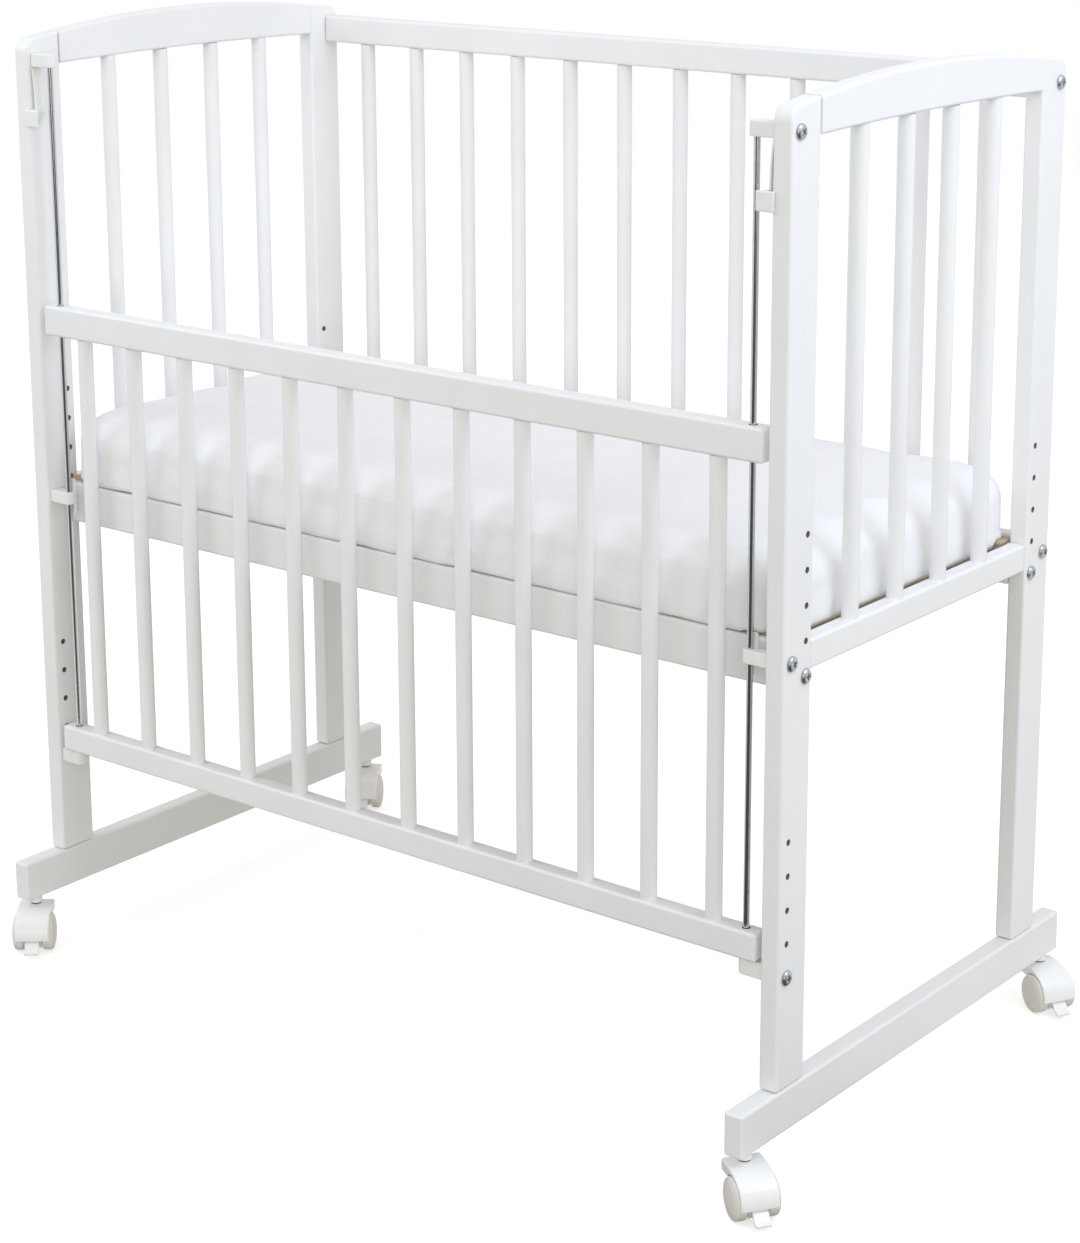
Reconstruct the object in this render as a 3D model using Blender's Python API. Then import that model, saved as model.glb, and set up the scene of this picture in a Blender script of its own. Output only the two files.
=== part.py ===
"""A wooden bedside cot with a drop side, on four braked twin-wheel casters.

X runs along the cot and Y across it, with the drop side at -Y. Z runs up from the floor, and
the origin is on the floor below the middle. Every size is in metres. The drop side is modelled
lowered, and a height named "above the runners" counts from the top face of the two runners.
"""

import math

import bmesh
import bpy
from mathutils import Matrix, Vector

# Fits
GAP = 0.0003                    # between two faces that touch
PIN_CLEARANCE = 0.0004          # round a bolt or a fixed pin in its hole
ROD_CLEARANCE = 0.001           # round a rod in the drop side's rails
OVERRUN = 0.003                 # how far a cutter passes the face that it opens
BITE = 0.001                    # how far two solids run into each other before they are joined
SHARP_ANGLE = math.radians(32)

# End frames: two posts, an arched top rail and a lower rail with spindles
FRAME_LENGTH = 0.970
FRAME_DEPTH = 0.476
POST_THICK = 0.020
POST_DEPTH = 0.045
POST_CORNER_RADIUS = 0.016
SEAM_HEIGHT = 0.903             # above the runners, where the arch meets the posts
ARCH_RISE = 0.012
ARCH_UNDERSIDE_RISE = 0.003
ARCH_RAIL_HEIGHT = 0.034
LOWER_RAIL_THICK = 0.018
LOWER_RAIL_HEIGHT = 0.028
LOWER_RAIL_TOP = 0.4215         # above the runners
END_SPINDLES = 4
SPINDLE_DIAMETER = 0.016
EDGE_RADIUS = 0.003

# Runners
RUNNER_REACH = 0.055            # past each post
RUNNER_THICK = 0.020
RUNNER_HEIGHT = 0.043

# Back fence
FENCE_THICK = 0.020
FENCE_INSET = 0.0025            # from the posts' back faces
BACK_TOP_RAIL_HEIGHT = 0.030
BACK_TOP_RAIL_DROP = 0.014      # below the arch's seam
FENCE_SPINDLES = 12
FENCE_END_MARGIN = 0.052        # from a drop side rail's end to its first spindle

# Base: two long rails, a board on battens and the mattress
APRON_THICK = 0.018
APRON_HEIGHT = 0.044
APRON_DROP = 0.0015             # below the top of the lower rails
APRON_INSET = 0.026             # from the posts' outer faces
BOARD_THICK = 0.003
BOARD_END_GAP = 0.002
BOARD_SIDE_STEP = 0.009         # from the long rails' outer faces
BATTEN_WIDTH = 0.020
BATTEN_HEIGHT = 0.034
BATTENS = 3
BATTEN_END_GAP = 0.003          # from the board's ends to the outer battens
MATTRESS_END_GAP = 0.004        # to the posts
MATTRESS_SIDE_INSET = 0.023     # from the posts' outer edges
MATTRESS_THICK = 0.074
MATTRESS_CORNER_RADIUS = 0.036
MATTRESS_EDGE_RADIUS = 0.024
MATTRESS_CROWN = 0.007
MATTRESS_WAIST = 0.0025         # how far the sides are drawn in at half height
MATTRESS_RING_SHARES = (0, 0.12, 0.3, 0.52, 0.76)   # rings on the top, from its edge to its middle
MATTRESS_TURN_SHARE = 0.9       # the largest corner radius of a ring, of half its width

# Drop side and the rods that it slides on
DROP_RAIL_END_GAP = 0.0065      # to the posts
DROP_RAIL_THICK = 0.020
DROP_FACE_INSET = 0.0005        # behind the posts' front faces
DROP_TOP_RAIL_HEIGHT = 0.032
DROP_BOTTOM_RAIL_HEIGHT = 0.028
DROP_SIDE_HEIGHT = 0.497
ROD_DIAMETER = 0.006
ROD_INSET = 0.016               # from a drop side rail's end

# Plastic fittings on the front posts
FITTING_WIDTH = 0.013
TOP_BRACKET_HEIGHT = 0.014
TOP_BRACKET_ABOVE = 0.0075      # from its bolt to its top
MID_GUIDE_HEIGHT = 0.013
MID_GUIDE_TAB_ABOVE = 0.014
MID_GUIDE_TAB_BELOW = 0.012
MID_GUIDE_TAB_WIDTH = 0.010
MID_GUIDE_TAB_THICK = 0.003
FOOT_BRACKET_HEIGHT = 0.0155
FOOT_BRACKET_ABOVE = 0.010      # from its bolt to its top

# Spring latches that hang from the top brackets
LEAF_THICK = 0.0016
LEAF_LENGTH = 0.0505
LEAF_BOW = 0.0038               # how far the leaf leans in at its lower end
LEAF_BOW_POWER = 1.1            # 1 is a straight leaf, more bows it
LEAF_TOP_INSET = 0.0005         # from the post's inner face
LEAF_STEPS = 8
PAD_HEIGHT = 0.017
PAD_WIDTH = 0.0195
PAD_REACH = 0.0072              # outward from the leaf's outer face
PAD_THICK = 0.0042
PAD_PROUD = 0.005               # in front of the posts' front faces
PAD_EDGE_RADIUS = 0.001
TOOTH_HEIGHT = 0.007
TOOTH_REACH = 0.003             # under the end of the raised top rail
TOOTH_DEPTH = 0.011
TOOTH_POINT = 0.0015            # height of the tooth's blunt inner end

# Bolts and the rows of spare holes
BOLT_DIAMETER = 0.006
BOLT_HEAD_DIAMETER = 0.014
BOLT_HEAD_HEIGHT = 0.003
BOLT_HEAD_STEP = 0.0012
BOLT_HEAD_RIM = 0.0012
BOLT_SOCKET_DIAMETER = 0.005
BOLT_SOCKET_DEPTH = 0.0018
WOOD_BOLT_REACH = 0.024         # past the post, into a rail's end
FITTING_BOLT_REACH = 0.011      # past the post, into a fitting
OUTER_BOLT_INSET = 0.0125       # from the post's outer edge
INNER_BOLT_INSET = 0.035        # from the post's outer edge
TOP_BOLT_DROP = 0.0135          # below the top of the back fence's top rail
BASE_BOLT_DROP = 0.0295         # below the top of the base's long rails
FOOT_BOLT_HEIGHT = 0.1105       # above the runners
SPARE_HOLES = 4
SPARE_HOLE_PITCH = 0.0325
SPARE_HOLE_DIAMETER = 0.0062

# Casters
CASTER_HEIGHT = 0.055
CASTER_INSET = 0.020            # from the runner's end to the stem
CASTER_TRAIL = 0.020            # from the stem to the axle
WHEEL_DIAMETER = 0.040
WHEEL_SIDES = 20
WHEEL_WIDTH = 0.013
WHEEL_TRACK = 0.034             # between the middles of a caster's two wheels
WHEEL_SHOULDER = 0.003
WHEEL_DISH_DEPTH = 0.0012
WHEEL_DISH_WIDTH = 0.0085
AXLE_DIAMETER = 0.006
AXLE_TIP_WALL = 0.003           # left in the wheel past the axle's tip
HOOD_WALL = 0.0023
HOOD_WIDTH = 0.0385
HOOD_CLEARANCE = 0.001          # between the hood and the wheels' treads
HOOD_SIDE_CLEARANCE = 0.0007    # between the hood's web and the wheels' inner faces
HOOD_BOSS_DIAMETER = 0.014
HOOD_SOCKET_DIAMETER = 0.016
HOOD_SOCKET_DEPTH = 0.0145
HOOD_SOCKET_WALL = 0.003        # below the stem's bore
HOOD_SHOULDER_WIDTH = 0.037
HOOD_SHOULDER_HEIGHT = 0.009
HOOD_SHOULDER_FRONT = 0.0115    # from the stem towards the wheels
HOOD_TOP_GAP = 0.009            # from the hood's top to the runner
HOOD_REAR_ANGLE = math.radians(52)
HOOD_FRONT_ANGLE = math.radians(187)
WEB_REAR_ANGLE = math.radians(48)
WEB_FRONT_ANGLE = math.radians(222)
STEM_DIAMETER = 0.008
STEM_REACH = 0.024              # up into the runner
STEM_COLLAR_DIAMETER = 0.0135
CASTER_HEADINGS = {"front_left": math.radians(40), "front_right": math.radians(55),
                   "back_left": math.radians(34), "back_right": math.radians(60)}

# Brake levers
LEVER_PIVOT_ANGLE = math.radians(196)
LEVER_PIVOT_RADIUS = 0.0172     # from the axle
LEVER_WIDTH = 0.0155
LEVER_BARREL_RADIUS = 0.0024
LEVER_PIN_RADIUS = 0.0012
LEVER_PIN_REACH = 0.0012        # into each cheek of the hood
LEVER_NECK = 0.0045             # from the pivot to where the foot plate starts to fall
LEVER_BEND = 0.0085
LEVER_BEND_DROP = 0.0045
LEVER_LENGTH = 0.015
LEVER_DROP = 0.0085
LEVER_THICK = 0.0022
LEVER_SIDE_CLEARANCE = 0.0008
POCKET_RADIUS = 0.0035
POCKET_REACH = 0.014
POCKET_RISE = 0.0015             # above the pivot, room for the lever's neck when it is lifted
POCKET_DEPTH = 0.0105

# Worked out from the sizes above
RUNNER_TOP = CASTER_HEIGHT + RUNNER_HEIGHT
BACK_TOP_RAIL_TOP = SEAM_HEIGHT - BACK_TOP_RAIL_DROP
APRON_TOP = LOWER_RAIL_TOP - APRON_DROP
TOP_BOLT_HEIGHT = BACK_TOP_RAIL_TOP - TOP_BOLT_DROP
MIDDLE_BOLT_HEIGHT = LOWER_RAIL_TOP - LOWER_RAIL_HEIGHT / 2
BASE_BOLT_HEIGHT = APRON_TOP - BASE_BOLT_DROP
TOP_BRACKET_TOP = TOP_BOLT_HEIGHT + TOP_BRACKET_ABOVE
FOOT_BRACKET_TOP = FOOT_BOLT_HEIGHT + FOOT_BRACKET_ABOVE
END_X = FRAME_LENGTH / 2 - POST_THICK / 2
INNER_X = FRAME_LENGTH / 2 - POST_THICK
RUNNER_LENGTH = FRAME_DEPTH + 2 * RUNNER_REACH
MATTRESS_LENGTH = 2 * (INNER_X - MATTRESS_END_GAP)
MATTRESS_WIDTH = FRAME_DEPTH - 2 * MATTRESS_SIDE_INSET
DROP_RAIL_LENGTH = 2 * (INNER_X - DROP_RAIL_END_GAP)
FRONT_Y = -FRAME_DEPTH / 2
BACK_Y = FRAME_DEPTH / 2
POST_GAP_Y = FRAME_DEPTH / 2 - POST_DEPTH
DROP_Y = FRONT_Y + DROP_FACE_INSET + DROP_RAIL_THICK / 2
FENCE_Y = BACK_Y - FENCE_INSET - FENCE_THICK / 2
ROD_X = DROP_RAIL_LENGTH / 2 - ROD_INSET
FRONT_APRON_Y = FRONT_Y + APRON_INSET + APRON_THICK / 2
BACK_APRON_Y = BACK_Y - APRON_INSET - APRON_THICK / 2
BOARD_BOTTOM = APRON_TOP + GAP
MATTRESS_BOTTOM = BOARD_BOTTOM + BOARD_THICK + GAP
DROP_BOTTOM = FOOT_BRACKET_TOP + GAP
WHEEL_RADIUS = WHEEL_DIAMETER / 2
SIDES = {"left": -1, "right": 1}
WHITE_WOOD = (0.86, 0.87, 0.88)
RAW_WOOD = (0.72, 0.60, 0.44)
COTTON = (0.90, 0.90, 0.91)
WHITE_PLASTIC = (0.88, 0.88, 0.86)
TREAD_PLASTIC = (0.80, 0.77, 0.70)
ZINC = (0.62, 0.63, 0.64)


def above_runners(height):
    """Return the world height of a place measured from the runners' top."""
    return RUNNER_TOP + height


def spaced(count, span):
    """Return places spread evenly over a span, with one at each end."""
    return [span * (index / (count - 1) - 0.5) for index in range(count)]


def arc(centre, radius, start, end, steps):
    """Return points on an arc, from the start angle to the end angle."""
    angles = [start + (end - start) * index / steps for index in range(steps + 1)]
    return [(centre[0] + radius * math.cos(angle), centre[1] + radius * math.sin(angle))
            for angle in angles]


def new_object(name, build):
    """Return a new object whose mesh the given bmesh holds."""
    bmesh.ops.remove_doubles(build, verts=build.verts, dist=GAP / 100)
    bmesh.ops.recalc_face_normals(build, faces=build.faces)
    mesh = bpy.data.meshes.new(name)
    build.to_mesh(mesh)
    build.free()
    part = bpy.data.objects.new(name, mesh)
    bpy.context.scene.collection.objects.link(part)
    return part


def prism(name, outline, low, high, plane="YZ"):
    """Return an outline in the given plane, extruded across that plane from low to high."""
    spread = {"YZ": lambda u, v, w: (w, u, v),
              "XZ": lambda u, v, w: (u, w, v),
              "XY": lambda u, v, w: (u, v, w)}[plane]
    build = bmesh.new()
    face = build.faces.new([build.verts.new(spread(u, v, low)) for u, v in outline])
    moved = bmesh.ops.extrude_face_region(build, geom=[face])["geom"]
    shift = Vector(spread(0, 0, high - low))
    bmesh.ops.translate(build, verts=[item for item in moved if isinstance(item, bmesh.types.BMVert)],
                        vec=shift)
    return new_object(name, build)


def box(name, low, high):
    """Return a box between two opposite corners."""
    outline = [(low[1], low[2]), (high[1], low[2]), (high[1], high[2]), (low[1], high[2])]
    return prism(name, outline, low[0], high[0])


def boxes(name, corners):
    """Return several boxes that don't meet, in one object."""
    build = bmesh.new()
    for low, high in corners:
        low, high = Vector(low), Vector(high)
        size = high - low
        place = Matrix.Translation((low + high) / 2) @ Matrix.Diagonal((*size, 1.0))
        bmesh.ops.create_cube(build, size=1.0, matrix=place)
    return new_object(name, build)


def cylinders(name, places, radius, low, high, sides, axis="Z"):
    """Return equal cylinders that don't meet, in one object, along one axis."""
    turn = {"X": Matrix.Rotation(math.pi / 2, 4, "Y"), "Z": Matrix.Identity(4)}[axis]
    build = bmesh.new()
    for first, second in places:
        middle = (low + high) / 2
        centre = Vector((middle, first, second)) if axis == "X" else Vector((first, second, middle))
        flat = Matrix.Rotation(math.pi / sides, 4, "Z")
        bmesh.ops.create_cone(build, cap_ends=True, segments=sides, radius1=radius, radius2=radius,
                              depth=high - low, matrix=Matrix.Translation(centre) @ turn @ flat)
    return new_object(name, build)


def turned(name, profile, sides, axis="X"):
    """Return a profile of (place along the axis, radius) pairs, turned about that axis, a flat down."""
    build = bmesh.new()
    corner = math.pi / sides - math.pi / 2
    verts = [build.verts.new((along, radius * math.cos(corner), radius * math.sin(corner)))
             for along, radius in profile]
    edges = [build.edges.new(pair) for pair in zip(verts, verts[1:])]
    bmesh.ops.spin(build, geom=verts + edges, cent=(0, 0, 0), axis=(1, 0, 0), angle=2 * math.pi,
                   steps=sides, use_duplicate=False)
    if axis == "Z":
        bmesh.ops.rotate(build, verts=build.verts, cent=(0, 0, 0),
                         matrix=Matrix.Rotation(-math.pi / 2, 3, "Y"))
    return new_object(name, build)


def round_edges(part, radius, segments=2):
    """Round the part's sharp edges."""
    bevel = part.modifiers.new("round_edges", "BEVEL")
    bevel.width = radius
    bevel.segments = segments
    bevel.limit_method = "ANGLE"
    bevel.angle_limit = math.radians(40)
    return part


def combine(part, operation, others):
    """Cut the others from the part, or join them to it, and keep them as guides."""
    for other in others:
        other.hide_render = True
        other.display_type = "WIRE"
        step = part.modifiers.new(other.name, "BOOLEAN")
        step.operation = operation
        step.object = other
    return part


def cut(part, *tools):
    """Cut the tools from the part."""
    return combine(part, "DIFFERENCE", tools)


def join(part, *pieces):
    """Join the pieces to the part as one solid."""
    return combine(part, "UNION", pieces)


def evaluated(part):
    """Return the part's finished mesh and remove the part with its guides."""
    bpy.context.view_layer.update()
    mesh = bpy.data.meshes.new_from_object(part.evaluated_get(bpy.context.evaluated_depsgraph_get()))
    guides = [step.object for step in part.modifiers if step.type == "BOOLEAN"]
    for old in [part, *guides]:
        bpy.data.objects.remove(old, do_unlink=True)
    return mesh


def finish(part, colour, roughness, metallic=0.0):
    """Give the part its smooth shading and its own material."""
    part.data.shade_smooth()
    part.data.set_sharp_from_angle(angle=SHARP_ANGLE)
    material = bpy.data.materials.new(part.name)
    material.use_nodes = True
    shader = material.node_tree.nodes["Principled BSDF"]
    shader.inputs["Base Color"].default_value = (*colour, 1.0)
    shader.inputs["Roughness"].default_value = roughness
    shader.inputs["Metallic"].default_value = metallic
    if part.data.users > 1:
        part.data = part.data.copy()
    part.data.materials.clear()
    part.data.materials.append(material)
    return part


def painted(part):
    """Finish a white lacquered wooden part."""
    return finish(part, WHITE_WOOD, 0.42)


def moulded(part):
    """Finish a white plastic part."""
    return finish(part, WHITE_PLASTIC, 0.34)


def arch_height(y):
    """Return the height of the end frame's curved top above the runners at a place across it."""
    radius = (POST_GAP_Y ** 2 + ARCH_RISE ** 2) / (2 * ARCH_RISE)
    return SEAM_HEIGHT + ARCH_RISE - radius + math.sqrt(radius ** 2 - y ** 2)


def arch_underside(y):
    """Return the height of the arched rail's underside above the runners."""
    radius = (POST_GAP_Y ** 2 + ARCH_UNDERSIDE_RISE ** 2) / (2 * ARCH_UNDERSIDE_RISE)
    seam = SEAM_HEIGHT - ARCH_RAIL_HEIGHT
    return seam + ARCH_UNDERSIDE_RISE - radius + math.sqrt(radius ** 2 - y ** 2)


def bolt_places(front):
    """Return the bolt holes of one post as (inset from its outer edge, height) pairs."""
    places = [(OUTER_BOLT_INSET, TOP_BOLT_HEIGHT), (OUTER_BOLT_INSET, MIDDLE_BOLT_HEIGHT),
              (INNER_BOLT_INSET, BASE_BOLT_HEIGHT)]
    return places + [(OUTER_BOLT_INSET, FOOT_BOLT_HEIGHT)] if front else places


def spare_places(front):
    """Return the empty holes above the base bolt and, on a front post, above the foot bolt."""
    columns = [(INNER_BOLT_INSET, BASE_BOLT_HEIGHT)]
    if front:
        columns.append((OUTER_BOLT_INSET, FOOT_BOLT_HEIGHT))
    return [(inset, height + SPARE_HOLE_PITCH * step)
            for inset, height in columns for step in range(1, SPARE_HOLES + 1)]


def make_post(name, side, end):
    """Make one post. The end is -1 at the front and 1 at the back."""
    front = end < 0
    outer = FRAME_DEPTH / 2
    corner = outer - POST_CORNER_RADIUS
    top = [(y, arch_height(y)) for y in (POST_GAP_Y, (POST_GAP_Y + corner) / 2)]
    rounded = arc((corner, arch_height(corner) - POST_CORNER_RADIUS), POST_CORNER_RADIUS,
                  math.pi / 2, 0, 6)
    outline = [(y * end, above_runners(z)) for y, z in
               [(outer, GAP), (POST_GAP_Y, GAP), *top, *rounded]]
    centre = END_X * side
    post = prism(name, outline, centre - POST_THICK / 2, centre + POST_THICK / 2)
    round_edges(post, EDGE_RADIUS)
    reach = POST_THICK / 2 + OVERRUN
    for label, places, radius in (
            ("bolt_holes", bolt_places(front), BOLT_DIAMETER / 2 + PIN_CLEARANCE),
            ("spare_holes", spare_places(front), SPARE_HOLE_DIAMETER / 2)):
        holes = [((outer - inset) * end, above_runners(height)) for inset, height in places]
        cut(post, cylinders(f"{name}_{label}", holes, radius, centre - reach, centre + reach, 8, "X"))
    return painted(post)


def make_arch_rail(name, side):
    """Make the curved top rail between the two posts of one end."""
    half = POST_GAP_Y - GAP
    places = spaced(11, 2 * half)
    outline = [(y, above_runners(arch_height(y))) for y in places]
    outline += [(y, above_runners(arch_underside(y))) for y in reversed(places)]
    centre = END_X * side
    rail = prism(name, outline, centre - POST_THICK / 2, centre + POST_THICK / 2)
    return painted(round_edges(rail, EDGE_RADIUS))


def make_end_grille(name, side):
    """Make the lower rail of one end with the spindles that stand in it."""
    centre = END_X * side
    half = POST_GAP_Y - GAP
    top = above_runners(LOWER_RAIL_TOP)
    rail = box(name, (centre - LOWER_RAIL_THICK / 2, -half, top - LOWER_RAIL_HEIGHT),
               (centre + LOWER_RAIL_THICK / 2, half, top))
    round_edges(rail, EDGE_RADIUS)
    pitch = 2 * POST_GAP_Y / (END_SPINDLES + 1)
    for y in spaced(END_SPINDLES, pitch * (END_SPINDLES - 1)):
        seat = arch_underside(abs(y) + SPINDLE_DIAMETER / 2) - GAP
        join(rail, cylinders(f"{name}_spindle", [(centre, y)], SPINDLE_DIAMETER / 2,
                             top - LOWER_RAIL_HEIGHT / 2, above_runners(seat), 12))
    return painted(rail)


def make_runner(name, side):
    """Make one runner, with a bore for a caster's stem near each end."""
    centre = END_X * side
    half = RUNNER_LENGTH / 2
    runner = box(name, (centre - RUNNER_THICK / 2, -half, CASTER_HEIGHT),
                 (centre + RUNNER_THICK / 2, half, RUNNER_TOP))
    round_edges(runner, EDGE_RADIUS)
    places = [(centre, end * (half - CASTER_INSET)) for end in (-1, 1)]
    bores = cylinders(f"{name}_bores", places, STEM_DIAMETER / 2 + PIN_CLEARANCE,
                      CASTER_HEIGHT - OVERRUN, CASTER_HEIGHT + STEM_REACH + OVERRUN, 12)
    return painted(cut(runner, bores))


def fence_spindle_places():
    """Return the places along X of the spindles of the drop side and of the back fence."""
    return spaced(FENCE_SPINDLES, DROP_RAIL_LENGTH - 2 * FENCE_END_MARGIN)


def end_bores(name, length, y, z, reach):
    """Return the bores that run into both ends of a long rail for its bolts."""
    radius = BOLT_DIAMETER / 2 + PIN_CLEARANCE
    spans = [(-length / 2 - OVERRUN, -length / 2 + reach), (length / 2 - reach, length / 2 + OVERRUN)]
    return [cylinders(f"{name}_bore", [(y, z)], radius, low, high, 8, "X") for low, high in spans]


def make_long_rail(name, length, y, thick, top, height):
    """Make a straight rail along X, centred at a place across the cot."""
    rail = box(name, (-length / 2, y - thick / 2, top - height), (length / 2, y + thick / 2, top))
    return round_edges(rail, EDGE_RADIUS)


def join_spindles(rail, y, low, high):
    """Join the fence's spindles to a rail as one solid."""
    places = [(x, y) for x in fence_spindle_places()]
    return join(rail, cylinders(f"{rail.name}_spindles", places, SPINDLE_DIAMETER / 2, low, high, 12))


def make_back_fence():
    """Make the fixed fence at the back: a top rail, and a lower rail with spindles."""
    length = 2 * (INNER_X - GAP)
    reach = WOOD_BOLT_REACH + OVERRUN
    top = above_runners(BACK_TOP_RAIL_TOP)
    upper = make_long_rail("back_top_rail", length, FENCE_Y, FENCE_THICK, top, BACK_TOP_RAIL_HEIGHT)
    bolt_y = BACK_Y - OUTER_BOLT_INSET
    cut(upper, *end_bores("back_top_rail", length, bolt_y, above_runners(TOP_BOLT_HEIGHT), reach))
    painted(upper)
    lower_top = above_runners(LOWER_RAIL_TOP)
    lower = make_long_rail("back_grille", length, FENCE_Y, FENCE_THICK, lower_top, LOWER_RAIL_HEIGHT)
    join_spindles(lower, FENCE_Y, lower_top - LOWER_RAIL_HEIGHT / 2, top - BACK_TOP_RAIL_HEIGHT - GAP)
    cut(lower, *end_bores("back_grille", length, bolt_y, above_runners(MIDDLE_BOLT_HEIGHT), reach))
    painted(lower)


def make_aprons():
    """Make the two long rails that carry the base board."""
    length = 2 * (INNER_X - GAP)
    reach = WOOD_BOLT_REACH + OVERRUN
    for name, y, bolt_y in (("front_apron", FRONT_APRON_Y, FRONT_Y + INNER_BOLT_INSET),
                            ("back_apron", BACK_APRON_Y, BACK_Y - INNER_BOLT_INSET)):
        apron = make_long_rail(name, length, y, APRON_THICK, above_runners(APRON_TOP), APRON_HEIGHT)
        painted(cut(apron, *end_bores(name, length, bolt_y, above_runners(BASE_BOLT_HEIGHT), reach)))


def make_base_board():
    """Make the raw base board with the battens that are glued under it."""
    half_x = INNER_X - BOARD_END_GAP
    half_y = FRAME_DEPTH / 2 - APRON_INSET - BOARD_SIDE_STEP
    low = above_runners(BOARD_BOTTOM)
    board = box("base_board", (-half_x, -half_y, low), (half_x, half_y, low + BOARD_THICK))
    batten_y = FRAME_DEPTH / 2 - APRON_INSET - APRON_THICK - GAP
    span = 2 * (half_x - BATTEN_END_GAP) - BATTEN_WIDTH
    corners = [((x - BATTEN_WIDTH / 2, -batten_y, low - BATTEN_HEIGHT),
                (x + BATTEN_WIDTH / 2, batten_y, low + BITE)) for x in spaced(BATTENS, span)]
    join(board, boxes("base_board_battens", corners))
    finish(board, RAW_WOOD, 0.7)


def rounded_ring(build, half_x, half_y, radius, z, crown):
    """Add a ring of points round a rectangle with rounded corners, lifted by a crown."""
    corner_steps, long_steps, short_steps = 5, 7, 3
    points = []
    for sign_x, sign_y, start, steps in ((1, 1, 0, long_steps), (-1, 1, math.pi / 2, short_steps),
                                         (-1, -1, math.pi, long_steps), (1, -1, -math.pi / 2, short_steps)):
        centre = (sign_x * (half_x - radius), sign_y * (half_y - radius))
        corner = arc(centre, radius, start, start + math.pi / 2, corner_steps)
        points += corner
        end = corner[-1]
        if steps == long_steps:
            goal = (-end[0], end[1])
        else:
            goal = (end[0], -end[1])
        points += [(end[0] + (goal[0] - end[0]) * step / steps, end[1] + (goal[1] - end[1]) * step / steps)
                   for step in range(1, steps)]
    full_x, full_y = MATTRESS_LENGTH / 2, MATTRESS_WIDTH / 2
    lift = [crown * (1 - (x / full_x) ** 4) * (1 - (y / full_y) ** 2) for x, y in points]
    return [build.verts.new((x, y, z + rise)) for (x, y), rise in zip(points, lift)]


def make_mattress():
    """Make the mattress: a flat bottom, rounded edges, drawn-in sides and a crowned top."""
    low = above_runners(MATTRESS_BOTTOM)
    edge = MATTRESS_EDGE_RADIUS
    side_top = MATTRESS_THICK - MATTRESS_CROWN - edge
    lower_edge = edge / 2
    rings = [(lower_edge - lower_edge * math.sin(turn), lower_edge - lower_edge * math.cos(turn), 0)
             for turn in (0, math.pi / 6, math.pi / 3, math.pi / 2)]
    rings.append((MATTRESS_WAIST, (lower_edge + side_top) / 2, 0))
    rings += [(edge - edge * math.cos(turn), side_top + edge * math.sin(turn), MATTRESS_CROWN)
              for turn in (0, math.pi / 8, math.pi / 4, 3 * math.pi / 8)]
    flat = MATTRESS_WIDTH / 2 - edge
    rings += [(edge + flat * share, MATTRESS_THICK - MATTRESS_CROWN, MATTRESS_CROWN)
              for share in MATTRESS_RING_SHARES]
    build = bmesh.new()
    loops = []
    for inset, height, crown in rings:
        radius = max(MATTRESS_CORNER_RADIUS - inset / 2, edge / 4)
        half_x, half_y = MATTRESS_LENGTH / 2 - inset, MATTRESS_WIDTH / 2 - inset
        radius = min(radius, half_y * MATTRESS_TURN_SHARE)
        loops.append(rounded_ring(build, half_x, half_y, radius, low + height, crown))
    for lower, upper in zip(loops, loops[1:]):
        for index, vert in enumerate(lower):
            following = (index + 1) % len(lower)
            build.faces.new((vert, lower[following], upper[following], upper[index]))
    build.faces.new(list(reversed(loops[0])))
    bmesh.ops.triangulate(build, faces=[build.faces.new(loops[-1])])
    finish(new_object("mattress", build), COTTON, 0.85)


def make_rods():
    """Make the two steel rods that the drop side slides on."""
    low = above_runners(FOOT_BRACKET_TOP - FOOT_BRACKET_HEIGHT / 2)
    high = above_runners(TOP_BRACKET_TOP - TOP_BRACKET_HEIGHT / 2)
    for side_name, side in SIDES.items():
        rod = cylinders(f"guide_rod_{side_name}", [(ROD_X * side, DROP_Y)], ROD_DIAMETER / 2, low, high, 12)
        finish(rod, ZINC, 0.25, 1.0)


def fitting(name, side, low, high):
    """Return a lug that runs from the post's inner face round the rod."""
    radius = FITTING_WIDTH / 2
    flat_x = INNER_X - GAP
    outline = [(flat_x * side, DROP_Y - radius), (flat_x * side, DROP_Y + radius)]
    outline += [(x * side, y) for x, y in
                arc((ROD_X, DROP_Y), radius, math.pi / 2, 3 * math.pi / 2, 8)]
    return prism(name, outline, low, high, "XY")


def rod_bore(name, side, low, high):
    """Return the cutter for a rod's bore."""
    return cylinders(f"{name}_rod_bore", [(ROD_X * side, DROP_Y)], ROD_DIAMETER / 2 + PIN_CLEARANCE,
                     low, high, 12)


def fitting_bolt_bore(name, side, height):
    """Return the cutter for the bolt that holds a fitting to its post."""
    ends = sorted((side * (INNER_X + OVERRUN), side * (INNER_X - FITTING_BOLT_REACH - GAP)))
    place = [(FRONT_Y + OUTER_BOLT_INSET, above_runners(height))]
    return cylinders(f"{name}_bolt_bore", place, BOLT_DIAMETER / 2 + PIN_CLEARANCE, *ends, 8, "X")


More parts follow.
